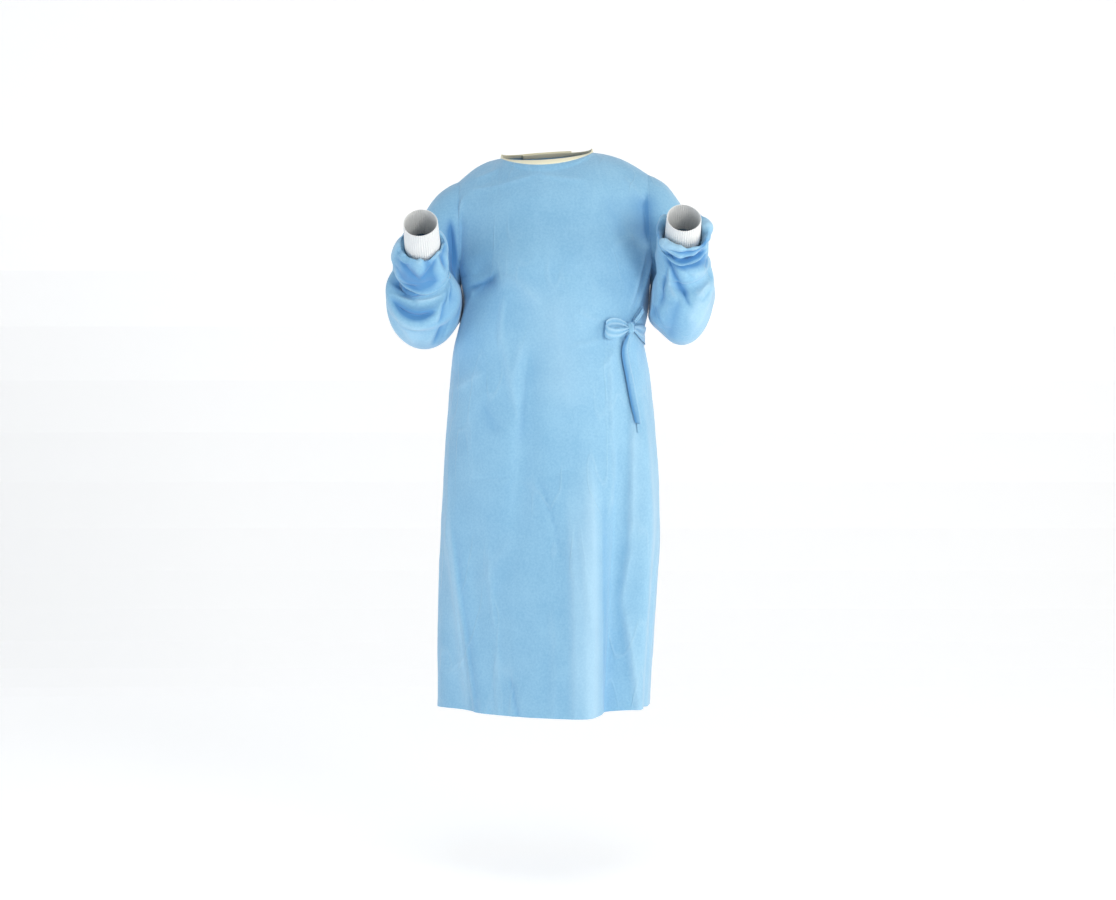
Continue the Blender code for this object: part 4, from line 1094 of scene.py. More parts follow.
def grid_lengths(grid, axis):
    """How far each point of a grid lies along one of its ways, as the sheet's mean."""
    first = grid[:, :1] if axis else grid[:1]
    steps = np.linalg.norm(np.diff(grid, axis=axis, prepend=first), axis=-1)
    mean = steps.cumsum(axis=axis).mean(axis=1 - axis, keepdims=True)
    return np.broadcast_to(mean, steps.shape)


def sheet_normals(grid, closed):
    """The way off a grid at each of its points."""
    if closed:
        around = np.roll(grid, -1, axis=1) - np.roll(grid, 1, axis=1)
    else:
        around = np.gradient(grid, axis=1)
    return normalized(np.cross(around, np.gradient(grid, axis=0)))


def sharpen(mesh, border, count):
    """Marks the edges round a sheet's rim, so that its two faces shade apart."""
    on_rim = np.zeros(2 * count, bool)
    on_rim[border] = True
    on_rim[border + count] = True
    ends = np.empty(2 * len(mesh.edges), np.int32)
    mesh.edges.foreach_get("vertices", ends)
    ends = ends.reshape(-1, 2)
    same_side = (ends[:, 0] < count) == (ends[:, 1] < count)
    sharp = mesh.attributes.new("sharp_edge", "BOOLEAN", "EDGE")
    sharp.data.foreach_set("value", on_rim[ends].all(axis=1) & same_side)


def fine_levels():
    low = np.linspace(0, LOWER, ROWS_BELOW + 1)
    return np.concatenate([low, np.linspace(LOWER, 1, ROWS_ABOVE + 1)[1:]])


def make_front():
    across, levels = np.meshgrid(np.linspace(-1, 1, FRONT_COLUMNS + 1), fine_levels())
    grid = cloth_point("front", across, levels)
    # The crease height that paints shade in the pits and highlight on the crests of the cloth
    tone = crease_height(FRONT_CREASES, grid[..., 0], grid[..., 2])
    grid = inset(grid, SEAM / 2, SEAM / 2, 0, SEAM_ROUND / 2)
    return sheet_object("gown_front", grid, gown_cloth, SHEET, tone=tone)


def make_backs():
    levels = fine_levels()
    shares = back_columns(levels)
    levels = np.broadcast_to(levels[:, None], shares.shape)
    grid = cloth_point("back", 1 - 2 * shares, levels)
    # The crease height that paints shade in the pits and highlight on the crests of the cloth
    tone = crease_height(BACK_CREASES, grid[..., 0], grid[..., 2])
    grid = inset(grid[:, : TO_UNDER + 1], SEAM / 2, 0, 0, SEAM_ROUND / 2)
    under_tone, over_tone = tone[:, : TO_UNDER + 1], tone[:, TO_OVER:]
    under = sheet_object("gown_back_left", grid, gown_cloth, SHEET, tone=under_tone)
    grid = cloth_point("back", 1 - 2 * shares, levels, over_lift(shares, levels))[:, TO_OVER:]
    grid = inset(grid, 0, SEAM / 2, 0, SEAM_ROUND / 2)
    over = sheet_object("gown_back_right", grid, gown_cloth, SHEET, tone=over_tone)
    return under, over


def make_sleeve(side):
    sign = SIDES[side]
    at = sleeve_rows(side)[:, None]
    angle = np.linspace(0, 360, SLEEVE_GRID[1], endpoint=False)[None]
    grid = folded_sleeve_point(side, at, angle)
    off = -sign * sheet_normals(grid, True)
    across, deep, up = grid[..., 0], grid[..., 1], grid[..., 2]
    before = smoothstep(-off[..., 1] * FACE_EDGE)
    behind = smoothstep(off[..., 1] * FACE_EDGE)
    outer = smoothstep(off[..., 0] * sign * FACE_EDGE - OUTER_FROM)
    lift = crease_height(SLEEVE_CREASES[side], across, up) * before
    lift = lift + crease_height(HIDDEN_CREASES[side], across, up) * behind
    lift = lift + crease_height(OUTER_CREASES, deep, up) * outer
    lift = lift + gather_waves(side, angle) * smoothstep((at - GATHER_FROM) / GATHER_EASE)
    ends = smoothstep(at / SLEEVE_START) * smoothstep((1 - at) / SLEEVE_END)
    # Painted shade and highlight: the sleeve's own creases, strengthened, and near the armhole the
    # front's creases, set its crease colour
    at_seam = smoothstep(1 - at / SEAM_SHADE_EASE) * before
    tone = SLEEVE_SHADE_TONE * lift * ends + crease_height(FRONT_CREASES, across, up) * at_seam
    lift = lift + inner_lift(side, grid, off) + rumple(grid, NO_WAIST, SLEEVE_SEED)
    grid = clear_of_body(side, grid + off * (lift * ends)[..., None])
    grid = clear_of_cuff(side, grid)
    middle = grid[0].mean(axis=0)
    tuck = middle + (grid[0] - middle) * SEAM_TUCK - np.array((sign * TUCK_STEP, 0, 0))
    grid = np.concatenate([tuck[None], grid])
    tone = np.concatenate([tone[:1], tone])
    name = f"gown_sleeve_{side}"
    return sheet_object(name, grid, gown_cloth, SHEET, closed=True, flip=sign > 0, tone=tone)


def gather_waves(side, angle):
    """The waves round a sleeve where it is gathered into its cuff."""
    total = 0.0
    for count, first, height in GATHERS[side]:
        total = total + height * np.cos(np.radians(count * (angle - first)))
    return total


def inner_lift(side, grid, off):
    """How far a sleeve stands out towards the body, or is drawn in from it."""
    total = 0.0
    for height, z, reach_up, reach_down, y_none, y_full in INNER_SHAPE[side]:
        rise = grid[..., 2] - z
        reach = np.where(rise > 0, reach_up, reach_down)
        deep = smoothstep((grid[..., 1] - y_none) / (y_full - y_none))
        total = total + height * deep * np.exp(-((rise / reach) ** 2))
    return total * smoothstep(-off[..., 0] * SIDES[side] * BODY_EDGE)


def clear_of_body(side, grid):
    """Rests a sleeve on the gown's side where it would go through it below the armpit."""
    seam = side_path(side)
    edge = np.interp(grid[..., 2], seam[:, 2], seam[:, 0] * SIDES[side]) + SLEEVE_CLEAR
    below = smoothstep((seam[-1, 2] - grid[..., 2]) / CLEAR_BELOW)
    grid[..., 0] += SIDES[side] * below * np.maximum(edge - grid[..., 0] * SIDES[side], 0)
    return grid


def clear_of_cuff(side, grid):
    """Keeps a sleeve's overhanging folds outside its cuff."""
    wrist, forward, upward = forearm(side)
    past = (grid - wrist) @ forward
    off_middle = grid - wrist - past[..., None] * forward
    radius = np.linalg.norm(off_middle, axis=-1)
    least = CUFF_SEAM_RADIUS + CUFF_RIB_DEPTH + SLEEVE_CLEAR
    short = np.maximum(least - radius, 0) * smoothstep(past / CLEAR_PAST)
    return grid + off_middle / radius[..., None] * short[..., None]


def sleeve_rows(side):
    """Places of a sleeve's rows, closer together where the sleeve rolls in to the cuff."""
    fine = np.linspace(0, 1, PATH_SAMPLES)
    path = sleeve_point(side, fine, np.full(PATH_SAMPLES, ELBOW))
    length = np.linalg.norm(np.diff(path, axis=0, prepend=path[:1]), axis=1).cumsum()
    share = ROWS_BY_LENGTH * length / length[-1] + (1 - ROWS_BY_LENGTH) * fine
    return np.interp(np.linspace(0, 1, SLEEVE_GRID[0] + 1), share, fine)


def make_cuff(side):
    wrist, forward, upward = forearm(side)
    turn = np.linspace(0, 2 * math.pi, CUFF_GRID[1], endpoint=False)[:, None]
    around = upward * np.cos(turn) + np.array((SIDES[side], 0, 0)) * np.sin(turn)
    oval = np.cos(2 * turn + CUFF_TURN) + CUFF_THIRD * np.cos(3 * turn + SIDES[side])
    rows = []
    for share in np.linspace(0, 1, CUFF_GRID[0]):
        radius = CUFF_SEAM_RADIUS + (CUFF_MOUTH_RADIUS - CUFF_SEAM_RADIUS) * share
        reach = radius - CUFF_RIB_DEPTH + CUFF_SLACK * oval * share
        rows.append(wrist + forward * CUFF_LENGTH * share + around * reach)
    grid = np.array(rows)
    name = f"gown_cuff_{side}"
    piece = sheet_object(name, grid, knit, CUFF_SHEET, closed=True, flip=SIDES[side] > 0)
    copies = 2 * CUFF_GRID[0]
    keep_values(piece.data, "turn", "FLOAT", np.tile(turn[:, 0], copies))
    keep_values(piece.data, "off", "FLOAT_VECTOR", np.tile(around, (copies, 1)))
    return grown(piece, ribs, rib_count=CUFF_RIBS, rib_depth=CUFF_RIB_DEPTH)


def neck_path():
    """The neckline's seam from one back layer round to the other, the way up and off it."""
    shares = back_columns(np.array([1.0]))[0]
    corner = 0.5 - NECK_SHARE / 2
    under = np.array([s for s in shares[: TO_UNDER + 1] if s > corner - CORNER_SPARE][::-1])
    over = np.array([s for s in shares[TO_OVER:] if s < 1 - corner + CORNER_SPARE][::-1])
    front = np.linspace(1, -1, FRONT_COLUMNS + 1)
    front = front[np.abs(front) < NECK_SHARE - CORNER_SPARE]
    starts, lower = [], []
    for rows, level in ((starts, 1.0), (lower, BELOW_NECK)):
        rows.append(cloth_point("back", 1 - 2 * under, level))
        rows.append(cloth_point("front", front, level))
        rows.append(cloth_point("back", 1 - 2 * over, level, over_lift(over, np.array(1.0))))
    starts, lower = np.concatenate(starts), np.concatenate(lower)
    ups = normalized(starts - lower)
    for _ in range(NECK_SMOOTHINGS):
        ups[1:-1] = normalized(ups[:-2] + 2 * ups[1:-1] + ups[2:])
    along = normalized(np.gradient(starts, axis=0))
    return starts, ups, normalized(np.cross(ups, along))


def rounded(value, power):
    """A sine or cosine with its corners filled out."""
    return math.copysign(abs(value) ** power, value)


def make_binding():
    starts, ups, out = neck_path()
    rows = []
    for turn in np.linspace(0, 2 * math.pi, BINDING_SIDES, endpoint=False):
        rise = BINDING_MIDDLE + BINDING_HALF * rounded(math.sin(turn), BINDING_EDGE)
        side = BINDING_THICK / 2 * rounded(math.cos(turn), BINDING_FACE)
        rows.append(starts + ups * rise + out * side)
    grid = np.array(rows).transpose(1, 0, 2)
    return tube_object("neckline_binding", grid, binding_tape)


def tube_object(name, grid, finish):
    """A closed tube through rings of points, its ends shut by a fan."""
    rings, sides = grid.shape[:2]
    index = np.arange(rings * sides).reshape(rings, sides)
    right = np.roll(index, -1, axis=1)
    faces = np.stack([index[:-1], right[:-1], right[1:], index[1:]], axis=-1)
    faces = faces.reshape(-1, 4).tolist()
    faces.append(index[0][::-1].tolist())
    faces.append(index[-1].tolist())
    piece = mesh_object(name, grid.reshape(-1, 3), faces, finish)
    shape = bmesh.new()
    shape.from_mesh(piece.data)
    bmesh.ops.recalc_face_normals(shape, faces=shape.faces)
    shape.to_mesh(piece.data)
    shape.free()
    return piece


def ribbon(name, table, pleat=0.0, wall_side=0.0, ridge=0.0, painted_light_tint=0.0, lean=0.0):
    """A flat tie laid along rows of angle, height, distance off the cloth, width and twist.

    pleat is the height of its lengthwise pleats, which also paint shade in their troughs and
    highlight on their crests, and ridge that of one fold down its middle.
    tint makes the whole tie paler as painted highlight, and darker as painted shade where it is
    below 0, and lean paints one edge paler than the other, as light falling on one side and shade
    on the other.
    """
    rows = np.array(table, float)
    columns = ("at",) + RIBBON_COLUMNS
    keyed = np.column_stack([np.linspace(0, 1, len(rows)), rows])
    at = np.linspace(0, 1, RIBBON_ROWS)
    angle, z, out, width, twist = (smooth_read(keyed, columns, n, at) for n in RIBBON_COLUMNS)
    reach = np.linalg.norm(place_on_cloth(angle, z, out)[:, :2], axis=1)
    turn = np.radians(twist)
    squeeze = 1 - width / width.max()
    grid, tone = [], []
    for share in np.linspace(0.5, -0.5, RIBBON_SIDES):
        sideways, upward = width * share * np.cos(turn), width * share * np.sin(turn)
        pleats = pleat * np.cos(share * 2 * math.pi * PLEATS + at * PLEAT_DRIFT)
        fold = ridge * smoothstep(at / RIDGE_EASE) * (1 - abs(2 * share)) ** RIDGE_POWER
        lift = out + (PLEAT_REST + squeeze) * pleats + pleat * PLEAT_LIFT + fold
        grid.append(place_on_cloth(angle + np.degrees(sideways / reach), z + upward, lift))
        # Painted light: shade in the pleats' troughs and highlight on their crests, the whole tie
        # shifted by tint, one edge paler than the other by lean
        tone.append(PLEAT_SHADE_TONE * pleats + painted_light_tint + lean * share)
    grid, tone = np.array(grid), np.array(tone)
    return sheet_object(name, grid, gown_cloth, SHEET, offset=wall_side, tone=tone)


def size_tree(name, sizes):
    """An empty geometry tree with a mesh and some named sizes going in."""
    tree = bpy.data.node_groups.new(name, "GeometryNodeTree")
    sockets = tree.interface
    sockets.new_socket("Geometry", in_out="INPUT", socket_type="NodeSocketGeometry")
    for size, value in sizes.items():
        given = sockets.new_socket(size, in_out="INPUT", socket_type="NodeSocketFloat")
        given.default_value = value
    sockets.new_socket("Geometry", in_out="OUTPUT", socket_type="NodeSocketGeometry")
    return tree, tree.nodes.new("NodeGroupInput").outputs, tree.nodes.new("NodeGroupOutput")


def finish_tree(tree, last, shape, finish):
    """Ends a tree: its copies are made real, and take their material."""
    real = put_node(tree, "GeometryNodeRealizeInstances", {"Geometry": shape})
    done = put_node(tree, "GeometryNodeSetMaterial", {"Geometry": real, "Material": finish})
    tree.links.new(done, last.inputs[0])
    return tree


def stitch_tree(finish):
    """Rounded stitches end to end along an edge path."""
    sizes = {
        "Stitch Length": STITCH_LENGTH,
        "Stitch Pitch": STITCH_PITCH,
        "Thread Radius": THREAD_RADIUS,
    }
    tree, given, last = size_tree("stitch_row", sizes)
    path = put_node(tree, "GeometryNodeMeshToCurve", {"Mesh": given["Geometry"]})
    spread = {"Curve": path, "Length": given["Stitch Pitch"]}
    steps = put_node(tree, "GeometryNodeResampleCurve", spread, mode="LENGTH")
    along = {"Vector": put_node(tree, "GeometryNodeInputTangent")}
    turn = put_node(tree, "FunctionNodeAlignRotationToVector", along, axis="Z")
    half = math_node(tree, "MULTIPLY", given["Stitch Length"], 0.5)
    radius = given["Thread Radius"]
    size = put_node(tree, "ShaderNodeCombineXYZ", {0: radius, 1: radius, 2: half})
    bead = put_node(tree, "GeometryNodeMeshIcoSphere", {"Radius": 1.0, "Subdivisions": 1})
    laid = {"Points": steps, "Instance": bead, "Rotation": turn, "Scale": size}
    row = put_node(tree, "GeometryNodeInstanceOnPoints", laid)
    return finish_tree(tree, last, row, finish)


def rib_tree(finish):
    """Ribs round a plain cuff, from each point's turn and the way off the cuff's middle."""
    sizes = {"Rib Count": CUFF_RIBS, "Rib Depth": CUFF_RIB_DEPTH}
    tree, given, last = size_tree("cuff_ribs", sizes)
    stored = "GeometryNodeInputNamedAttribute"
    turn = put_node(tree, stored, {"Name": "turn"}, data_type="FLOAT")
    off = put_node(tree, stored, {"Name": "off"}, data_type="FLOAT_VECTOR")
    half = math_node(tree, "MULTIPLY", given["Rib Count"], 0.5)
    wave = math_node(tree, "SINE", math_node(tree, "MULTIPLY", turn, half))
    rise = math_node(tree, "MULTIPLY", math_node(tree, "ABSOLUTE", wave), given["Rib Depth"])
    shift = put_node(tree, "ShaderNodeVectorMath", {0: off, "Scale": rise}, operation="SCALE")
    moved = {"Geometry": given["Geometry"], "Offset": shift}
    return finish_tree(tree, last, put_node(tree, "GeometryNodeSetPosition", moved), finish)


def grown(piece, tree, **sizes):
    """Runs a tree on a piece, with sizes set by name, and leaves the result as its mesh."""
    growth = piece.modifiers.new("Growth", "NODES")
    growth.node_group = tree
    for item in tree.interface.items_tree:
        size = item.name.replace(" ", "_").lower()
        if item.in_out == "INPUT" and size in sizes:
            growth[item.identifier] = float(sizes[size])
    bpy.context.view_layer.update()
    grown_piece = piece.evaluated_get(bpy.context.evaluated_depsgraph_get())
    made = bpy.data.meshes.new_from_object(grown_piece)
    piece.modifiers.remove(growth)
    piece.data = made
    made.name = piece.name
    made.shade_smooth()
    return piece


def stitched(name, paths, **sizes):
    """Rows of stitches along paths of points, as one piece."""
    points, edges = [], []
    for path in paths:
        start = len(points)
        points += [tuple(point) for point in path]
        edges += [(start + i, start + i + 1) for i in range(len(path) - 1)]
    mesh = bpy.data.meshes.new(name)
    mesh.from_pydata(points, edges, [])
    piece = bpy.data.objects.new(name, mesh)
    bpy.context.scene.collection.objects.link(piece)
    return grown(piece, stitch_rows, **sizes)


def seam_path(side):
    """Round an armhole on the panels, from the underarm up the front and down the back."""
    levels = np.linspace(LOWER + SEAM_SPARE, SEAM_TOP, SEAM_SAMPLES)
    across = np.full_like(levels, SIDES[side] * (1 - STITCH_INSET))
    layer = LAYER if side == "right" else 0
    up = cloth_point("front", across, levels, THREAD_RADIUS)
    down = cloth_point("back", across, levels[::-1], THREAD_RADIUS + layer)
    return np.concatenate([up, down])


def side_path(side):
    """Up a side seam on the front panel, from the hem to the armpit."""
    levels = np.linspace(SIDE_SPARE, LOWER - SEAM_SPARE, SIDE_SAMPLES)
    across = np.full_like(levels, SIDES[side] * (1 - STITCH_INSET))
    return cloth_point("front", across, levels, THREAD_RADIUS)


def shoulder_path(side):
    """Along a shoulder seam on the front panel, from near the binding to the sleeve."""
    across = SIDES[side] * np.linspace(NECK_SHARE + NECK_GAP, SHOULDER_END, SHOULDER_SAMPLES)
    return cloth_point("front", across, np.full_like(across, SHOULDER_LEVEL), THREAD_RADIUS)


def binding_path():
    """Along the binding's lower edge, short of its two ends."""
    starts, ups, out = neck_path()
    rise = BINDING_MIDDLE - BINDING_HALF * BINDING_ROW
    return (starts + ups * rise - out * BINDING_THICK / 2)[2:-2]


def tab_path():
    """A box of stitches on the tab, a little in from its edges."""
    top = 1 - (TAB_DROP + TAB_IN) / UPPER_HEIGHT
    low = top - (TAB_HEIGHT - 2 * TAB_IN) / UPPER_HEIGHT
    first, last = TAB_FROM + TAB_SHARE_IN, TAB_TO - TAB_SHARE_IN
    corners = ((first, low), (last, low), (last, top), (first, top), (first, low))
    sides = []
    for start, end, samples in zip(corners, corners[1:], TAB_SAMPLES):
        sides.append(np.linspace(start, end, samples))
    shares, levels = np.concatenate(sides).T
    return tab_point(shares, levels, TAB_SHEET + THREAD_RADIUS)


def tab_point(shares, levels, out):
    """A point out from where the tab's underside lies, on both layers of the back."""
    start, end = (free_edge("over", levels) + one for one in TAB_STEP)
    step = LAYER * smoothstep((shares - start) / (end - start))
    return cloth_point("back", 1 - 2 * shares, levels, TAB_OUT + out + step)


def make_knot():
    seat = place_on_cloth(KNOT_ANGLE, KNOT_Z, RIBBON_SEAT)
    off = normalized(place_on_cloth(KNOT_ANGLE, KNOT_Z, RIBBON_SEAT + KNOT_HALF[0]) - seat)
    side = normalized(np.cross((0, 0, 1), off))
    away_half, side_half, up_half = KNOT_HALF
    middle = seat + off * away_half
    rows = []
    for rise in np.linspace(-1, 1, KNOT_RINGS):
        belt = math.sqrt(max(1 - rise**4, KNOT_TIP))
        up = np.array((0, 0, rise * up_half))
        ring = []
        for turn in np.linspace(0, 2 * math.pi, KNOT_SIDES, endpoint=False):
            fold = 1 + KNOT_FOLD * math.cos(turn * KNOT_FOLDS + rise * KNOT_TWIST)
            away, across = math.cos(turn) * belt * fold, math.sin(turn) * belt * fold
            ring.append(middle + off * away * away_half + side * across * side_half + up)
        rows.append(ring)
    return tube_object("bow_knot", np.array(rows), gown_cloth)


def make_tab():
    shares = np.linspace(TAB_FROM, TAB_TO, TAB_GRID[1])[None]
    top = 1 - TAB_DROP / UPPER_HEIGHT
    low = top - TAB_HEIGHT / UPPER_HEIGHT
    levels = np.linspace(low, top, TAB_GRID[0])[:, None]
    grid = tab_point(shares, levels, 0)
    return sheet_object("neckline_tab", grid, tab_tape, TAB_SHEET, offset=1.0)


def linear(colour):
    """A hex sRGB colour as linear red, green, blue and alpha."""
    values = [int(colour[i : i + 2], 16) / 255 for i in (1, 3, 5)]
    bent = [v / 12.92 if v <= 0.04045 else ((v + 0.055) / 1.055) ** 2.4 for v in values]
    return (*bent, 1.0)


def add_node(tree, kind, inputs=(), **settings):
    """Adds a node, sets it, and links or sets its inputs by name or place."""
    made = tree.nodes.new(kind)
    for name, value in settings.items():
        setattr(made, name, value)
    for name, value in dict(inputs).items():
        if isinstance(value, bpy.types.NodeSocket):
            tree.links.new(value, made.inputs[name])
        else:
            made.inputs[name].default_value = value
    return made


def put_node(tree, kind, inputs=(), **settings):
    """Adds a node and gives its first output."""
    return add_node(tree, kind, inputs, **settings).outputs[0]


def math_node(tree, operation, *values):
    """What a sum gives, from numbers or other nodes' outputs."""
    return put_node(tree, "ShaderNodeMath", enumerate(values), operation=operation)


def noise_node(tree, place, size, detail, roughness=0.5):
    """Soft noise about size across, as one number."""
    given = {"Vector": place, "Scale": 1 / size, "Detail": detail, "Roughness": roughness}
    return add_node(tree, "ShaderNodeTexNoise", given).outputs["Fac"]


def range_node(tree, value, low, high, first=0.0, last=1.0):
    """Carries a number from between low and high to between first and last."""
    given = {"Value": value, "From Min": low, "From Max": high, "To Min": first, "To Max": last}
    return put_node(tree, "ShaderNodeMapRange", given)


def blend_node(tree, share, first, second):
    """A colour some share of the way from one to another."""
    given = {"Factor": share, 6: first, 7: second}
    return add_node(tree, "ShaderNodeMix", given, data_type="RGBA").outputs[2]


def bump_node(tree, height, strength, distance, **more):
    """The tilt that a height gives to the surface."""
    given = {"Height": height, "Strength": strength, "Distance": distance, **more}
    return put_node(tree, "ShaderNodeBump", given)


def new_material(name, roughness):
    """A plain material, its tree, its shader, and where a point lies on the piece."""
    made = bpy.data.materials.new(name)
    made.use_nodes = True
    tree = made.node_tree
    shader = tree.nodes["Principled BSDF"]
    shader.inputs["Roughness"].default_value = roughness
    return made, tree, shader.inputs, tree.nodes.new("ShaderNodeTexCoord").outputs


def nonwoven():
    """Spunbond polypropylene: a matt sheet of loose fibres, cloudy, with small welded dots.

    It gives the eye a soft, slightly uneven blue that pales on crests, as crease whitening and
    painted highlight, and is darkened in folds by painted shade.
    """
    made, tree, shader, place = new_material("nonwoven_polypropylene", roughness=0.60)
    object_place = place["Object"]
    cloud = noise_node(tree, object_place, FIBRE_CLOUD, detail=3.0, roughness=0.6)
    patch = noise_node(tree, object_place, FIBRE_PATCH, detail=2.0)
    both = math_node(tree, "MULTIPLY", cloud, CLOUD_SHARE)
    both = math_node(tree, "MULTIPLY_ADD", patch, 1 - CLOUD_SHARE, both)
    colour = add_node(tree, "ShaderNodeValToRGB", {"Fac": both})
    low, high = colour.color_ramp.elements
    low.position, high.position = CLOTH_SPAN
    low.color, high.color = linear(CLOTH_DARK), linear(CLOTH_LIGHT)

    # Painted light from the stored crease height: pits darkened as painted shade, crests paled as
    # crease whitening and painted highlight
    crease = add_node(tree, "ShaderNodeAttribute", attribute_name="crease").outputs["Fac"]
    crest = range_node(tree, crease, CREST_WHITE_AND_HIGHLIGHT_TONE[0], CREST_WHITE_AND_HIGHLIGHT_TONE[1], last=CREST_WHITE_AND_HIGHLIGHT_TONE[2])
    paler = blend_node(tree, crest, colour.outputs["Color"], linear(CREST_WHITE_AND_HIGHLIGHT))
    pit = range_node(tree, crease, PIT_SHADE_TONE[0], PIT_SHADE_TONE[1], last=PIT_SHADE_TONE[2])
    pit_shaded = blend_node(tree, pit, paler, linear(PIT_SHADE))

    stretched = {0: object_place, 1: CRINKLE_STRETCH}
    upright = put_node(tree, "ShaderNodeVectorMath", stretched, operation="MULTIPLY")
    ground = noise_node(tree, upright, CRINKLE, CRINKLE_DETAIL)
    middle = math_node(tree, "ABSOLUTE", math_node(tree, "SUBTRACT", ground, 0.5))
    line = range_node(tree, middle, 0.0, CRINKLE_LINE, 1.0, 0.0)
    area = noise_node(tree, object_place, CRINKLE_PATCH, detail=1.0)
    crinkle = math_node(tree, "MULTIPLY", line, range_node(tree, area, *CRINKLE_AREA))
    shown = math_node(tree, "MULTIPLY", crinkle, CRINKLE_SHOWS)
    lined = blend_node(tree, shown, pit_shaded, linear(CREST_WHITE_AND_HIGHLIGHT))
    tree.links.new(lined, shader["Base Color"])

    ridge = bump_node(tree, crinkle, strength=0.6, distance=0.0012)
    grid = {"Vector": place["UV"], "Scale": 1 / WELD_PITCH, "Randomness": 0.12}
    dots = put_node(tree, "ShaderNodeTexVoronoi", grid, voronoi_dimensions="2D")
    spot = range_node(tree, dots, *WELD_EDGE)
    fibre = noise_node(tree, object_place, FIBRE_FINE, detail=4.0, roughness=0.7)
    height = math_node(tree, "MULTIPLY_ADD", fibre, 0.6, spot)
    tilt = bump_node(tree, height, strength=0.35, distance=0.0004, Normal=ridge)
    tree.links.new(tilt, shader["Normal"])
    shader["Sheen Weight"].default_value = 0.30
    shader["Sheen Roughness"].default_value = 0.5
    return made


def rib_knit():
    """Polyester rib knit: soft white ribs with fine stitches across them.

    It gives the eye a matt white without a highlight, greyer between its rows as painted shade.
    """
    made, tree, shader, place = new_material("rib_knit_polyester", roughness=0.9)
    scale = WAVE_SCALE / KNIT_ROW
    waves = {"Vector": place["UV"], "Scale": scale, "Distortion": 0.6, "Detail": 1.0}
    rows = add_node(tree, "ShaderNodeTexWave", waves, bands_direction="Y").outputs["Fac"]
    fuzz = noise_node(tree, place["Object"], FIBRE_FINE, detail=3.0)
    height = math_node(tree, "MULTIPLY_ADD", fuzz, 0.5, rows)
    tilt = bump_node(tree, height, strength=0.5, distance=0.0004)
    tree.links.new(tilt, shader["Normal"])
    # painted shade: darker where the rows' height is low, between the ribs
    colour = blend_node(tree, rows, linear(KNIT_GROOVE_SHADE), linear(KNIT_LIGHT))
    tree.links.new(colour, shader["Base Color"])
    return made


def woven_tape(name, dark, light):
    """Narrow tape or spun thread: a fine grain that breaks up one flat colour."""
    made, tree, shader, place = new_material(name, roughness=0.85)
    grain = noise_node(tree, place["Object"], TAPE_GRAIN, detail=3.0)
    tilt = bump_node(tree, grain, strength=0.4, distance=0.0003)
    tree.links.new(tilt, shader["Normal"])
    tree.links.new(blend_node(tree, grain, linear(dark), linear(light)), shader["Base Color"])
    return made


def backdrop_paper():
    """Backdrop paper: a clean white that lights the cloth from behind."""
    made, _, shader, _ = new_material("studio_paper", roughness=0.9)
    shader["Base Color"].default_value = linear("#F5F6F7")
    shader["Emission Color"].default_value = linear("#FFFFFF")
    shader["Emission Strength"].default_value = PAPER_GLOW
    return made


def make_stage():
    """A pale floor that rises to a pale backdrop in one curve."""
    profile = [(STAGE_FRONT, 0.0), (STAGE_BACK, 0.0)]
    for turn in np.linspace(0.1, math.pi / 2, STAGE_STEPS):
        back = STAGE_BACK + STAGE_CURVE * math.sin(turn)
        profile.append((back, STAGE_CURVE - STAGE_CURVE * math.cos(turn)))
    profile.append((STAGE_BACK + STAGE_CURVE, STAGE_TOP))
    rows = [[(x, y, FLOOR_Z + z) for x in (-STAGE_HALF, STAGE_HALF)] for y, z in profile]
    floor = sheet_object("studio_floor", np.array(rows), paper, STAGE_SHEET)
    return floor


def add_light(name, place, aim_z, size, power, colour):
    data = bpy.data.lights.new(name, "AREA")
    data.shape = "SQUARE"
    data.size = size
    data.energy = power
    data.color = linear(colour)[:3]
    lamp = bpy.data.objects.new(name, data)
    bpy.context.scene.collection.objects.link(lamp)
    lamp.location = place
    aim = Vector((0, 0, aim_z)) - Vector(place)
    lamp.rotation_euler = aim.to_track_quat("-Z", "Y").to_euler()


def light_and_camera():
    scene = bpy.context.scene
    scene.world = bpy.data.worlds.new("studio_air")
    scene.world.use_nodes = True
    air = scene.world.node_tree.nodes["Background"].inputs
    air["Color"].default_value = linear(AIR_COLOUR)
    air["Strength"].default_value = AIR_STRENGTH
    for light in LIGHTS:
        add_light(*light)
    data = bpy.data.cameras.new("photo_view")
    data.lens = LENS_MM
    data.sensor_width = SENSOR_MM
    camera = bpy.data.objects.new("photo_view", data)
    scene.collection.objects.link(camera)
    camera.location = CAMERA_PLACE
    camera.rotation_euler = (math.pi / 2, 0, 0)
    scene.camera = camera
    scene.view_settings.view_transform = "Standard"


# The binding is a warm cream, the hook-and-loop tab a paler, greyer blue than the cloth.
gown_cloth = nonwoven()
knit = rib_knit()
binding_tape = woven_tape("folded_binding_tape", "#E9E4C4", "#F6F2DC")
tab_tape = woven_tape("hook_and_loop_tape", "#A9C9E2", "#C4DCEE")
paper = backdrop_paper()
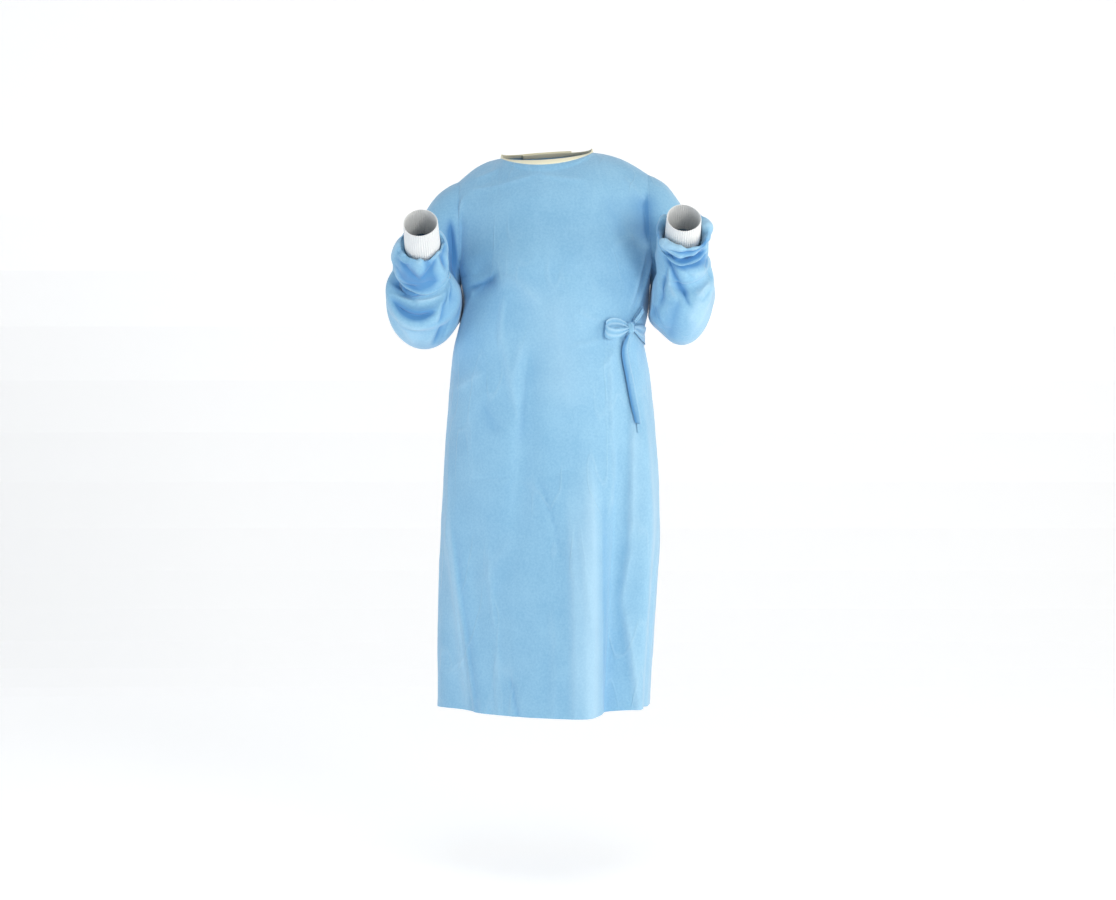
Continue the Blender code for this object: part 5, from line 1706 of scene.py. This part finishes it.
# Sewing thread: a shade paler than the cloth, so that seams show as fine broken lines
thread = woven_tape("polyester_thread", "#8FC0E2", "#B4D6EC")
stitch_rows = stitch_tree(thread)
ribs = rib_tree(knit)

front = make_front()
back_left, back_right = make_backs()
sleeves = {side: make_sleeve(side) for side in SIDES}
cuffs = {side: make_cuff(side) for side in SIDES}
binding = make_binding()
# The loops and strap are painted paler as highlight, the front tail darker, most along one edge,
# as painted shade
strap = ribbon("waist_strap", STRAP, pleat=0.0022, wall_side=1.0, painted_light_tint=0.002)
knot = make_knot()
front_loop = ribbon("bow_loop_front", FRONT_LOOP, pleat=0.0022, painted_light_tint=0.003)
side_loop = ribbon("bow_loop_side", SIDE_LOOP, pleat=0.0014, painted_light_tint=0.003)
front_tail = ribbon(
    "bow_tail_front", FRONT_TAIL, pleat=0.0008, ridge=0.0050, painted_light_tint=-0.004, lean=0.016
)
side_tail = ribbon("bow_tail_side", SIDE_TAIL, pleat=0.0004, ridge=0.0008)
tab = make_tab()
seam_rows = [path(side) for path in (seam_path, side_path, shoulder_path) for side in SIDES]
seam_stitches = stitched("seam_stitches", seam_rows)
binding_stitches = stitched("binding_stitches", [binding_path()])
tab_stitches = stitched("tab_stitches", [tab_path()], stitch_length=0.0022, stitch_pitch=0.0028)

PIECES = (
    (front, "front_panel", "gown_cloth"),
    (back_left, "back_panel_left", "gown_cloth"),
    (back_right, "back_panel_right", "gown_cloth"),
    (sleeves["left"], "sleeve_left", "gown_cloth"),
    (sleeves["right"], "sleeve_right", "gown_cloth"),
    (cuffs["left"], "cuff_left", "cuff_knit"),
    (cuffs["right"], "cuff_right", "cuff_knit"),
    (binding, "neck_binding", "binding_tape"),
    (tab, "neck_tab", "tab_tape"),
    (strap, "waist_tie_strap", "gown_cloth"),
    (knot, "tie_knot", "gown_cloth"),
    (front_loop, "tie_loop_front", "gown_cloth"),
    (side_loop, "tie_loop_side", "gown_cloth"),
    (front_tail, "tie_tail_front", "gown_cloth"),
    (side_tail, "tie_tail_side", "gown_cloth"),
    (seam_stitches, "front_panel", "gown_cloth"),
    (binding_stitches, "neck_binding", "binding_tape"),
    (tab_stitches, "neck_tab", "tab_tape"),
)
for piece, node, slot in PIECES:
    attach(piece, "root")
    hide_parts(node)

make_stage()
light_and_camera()
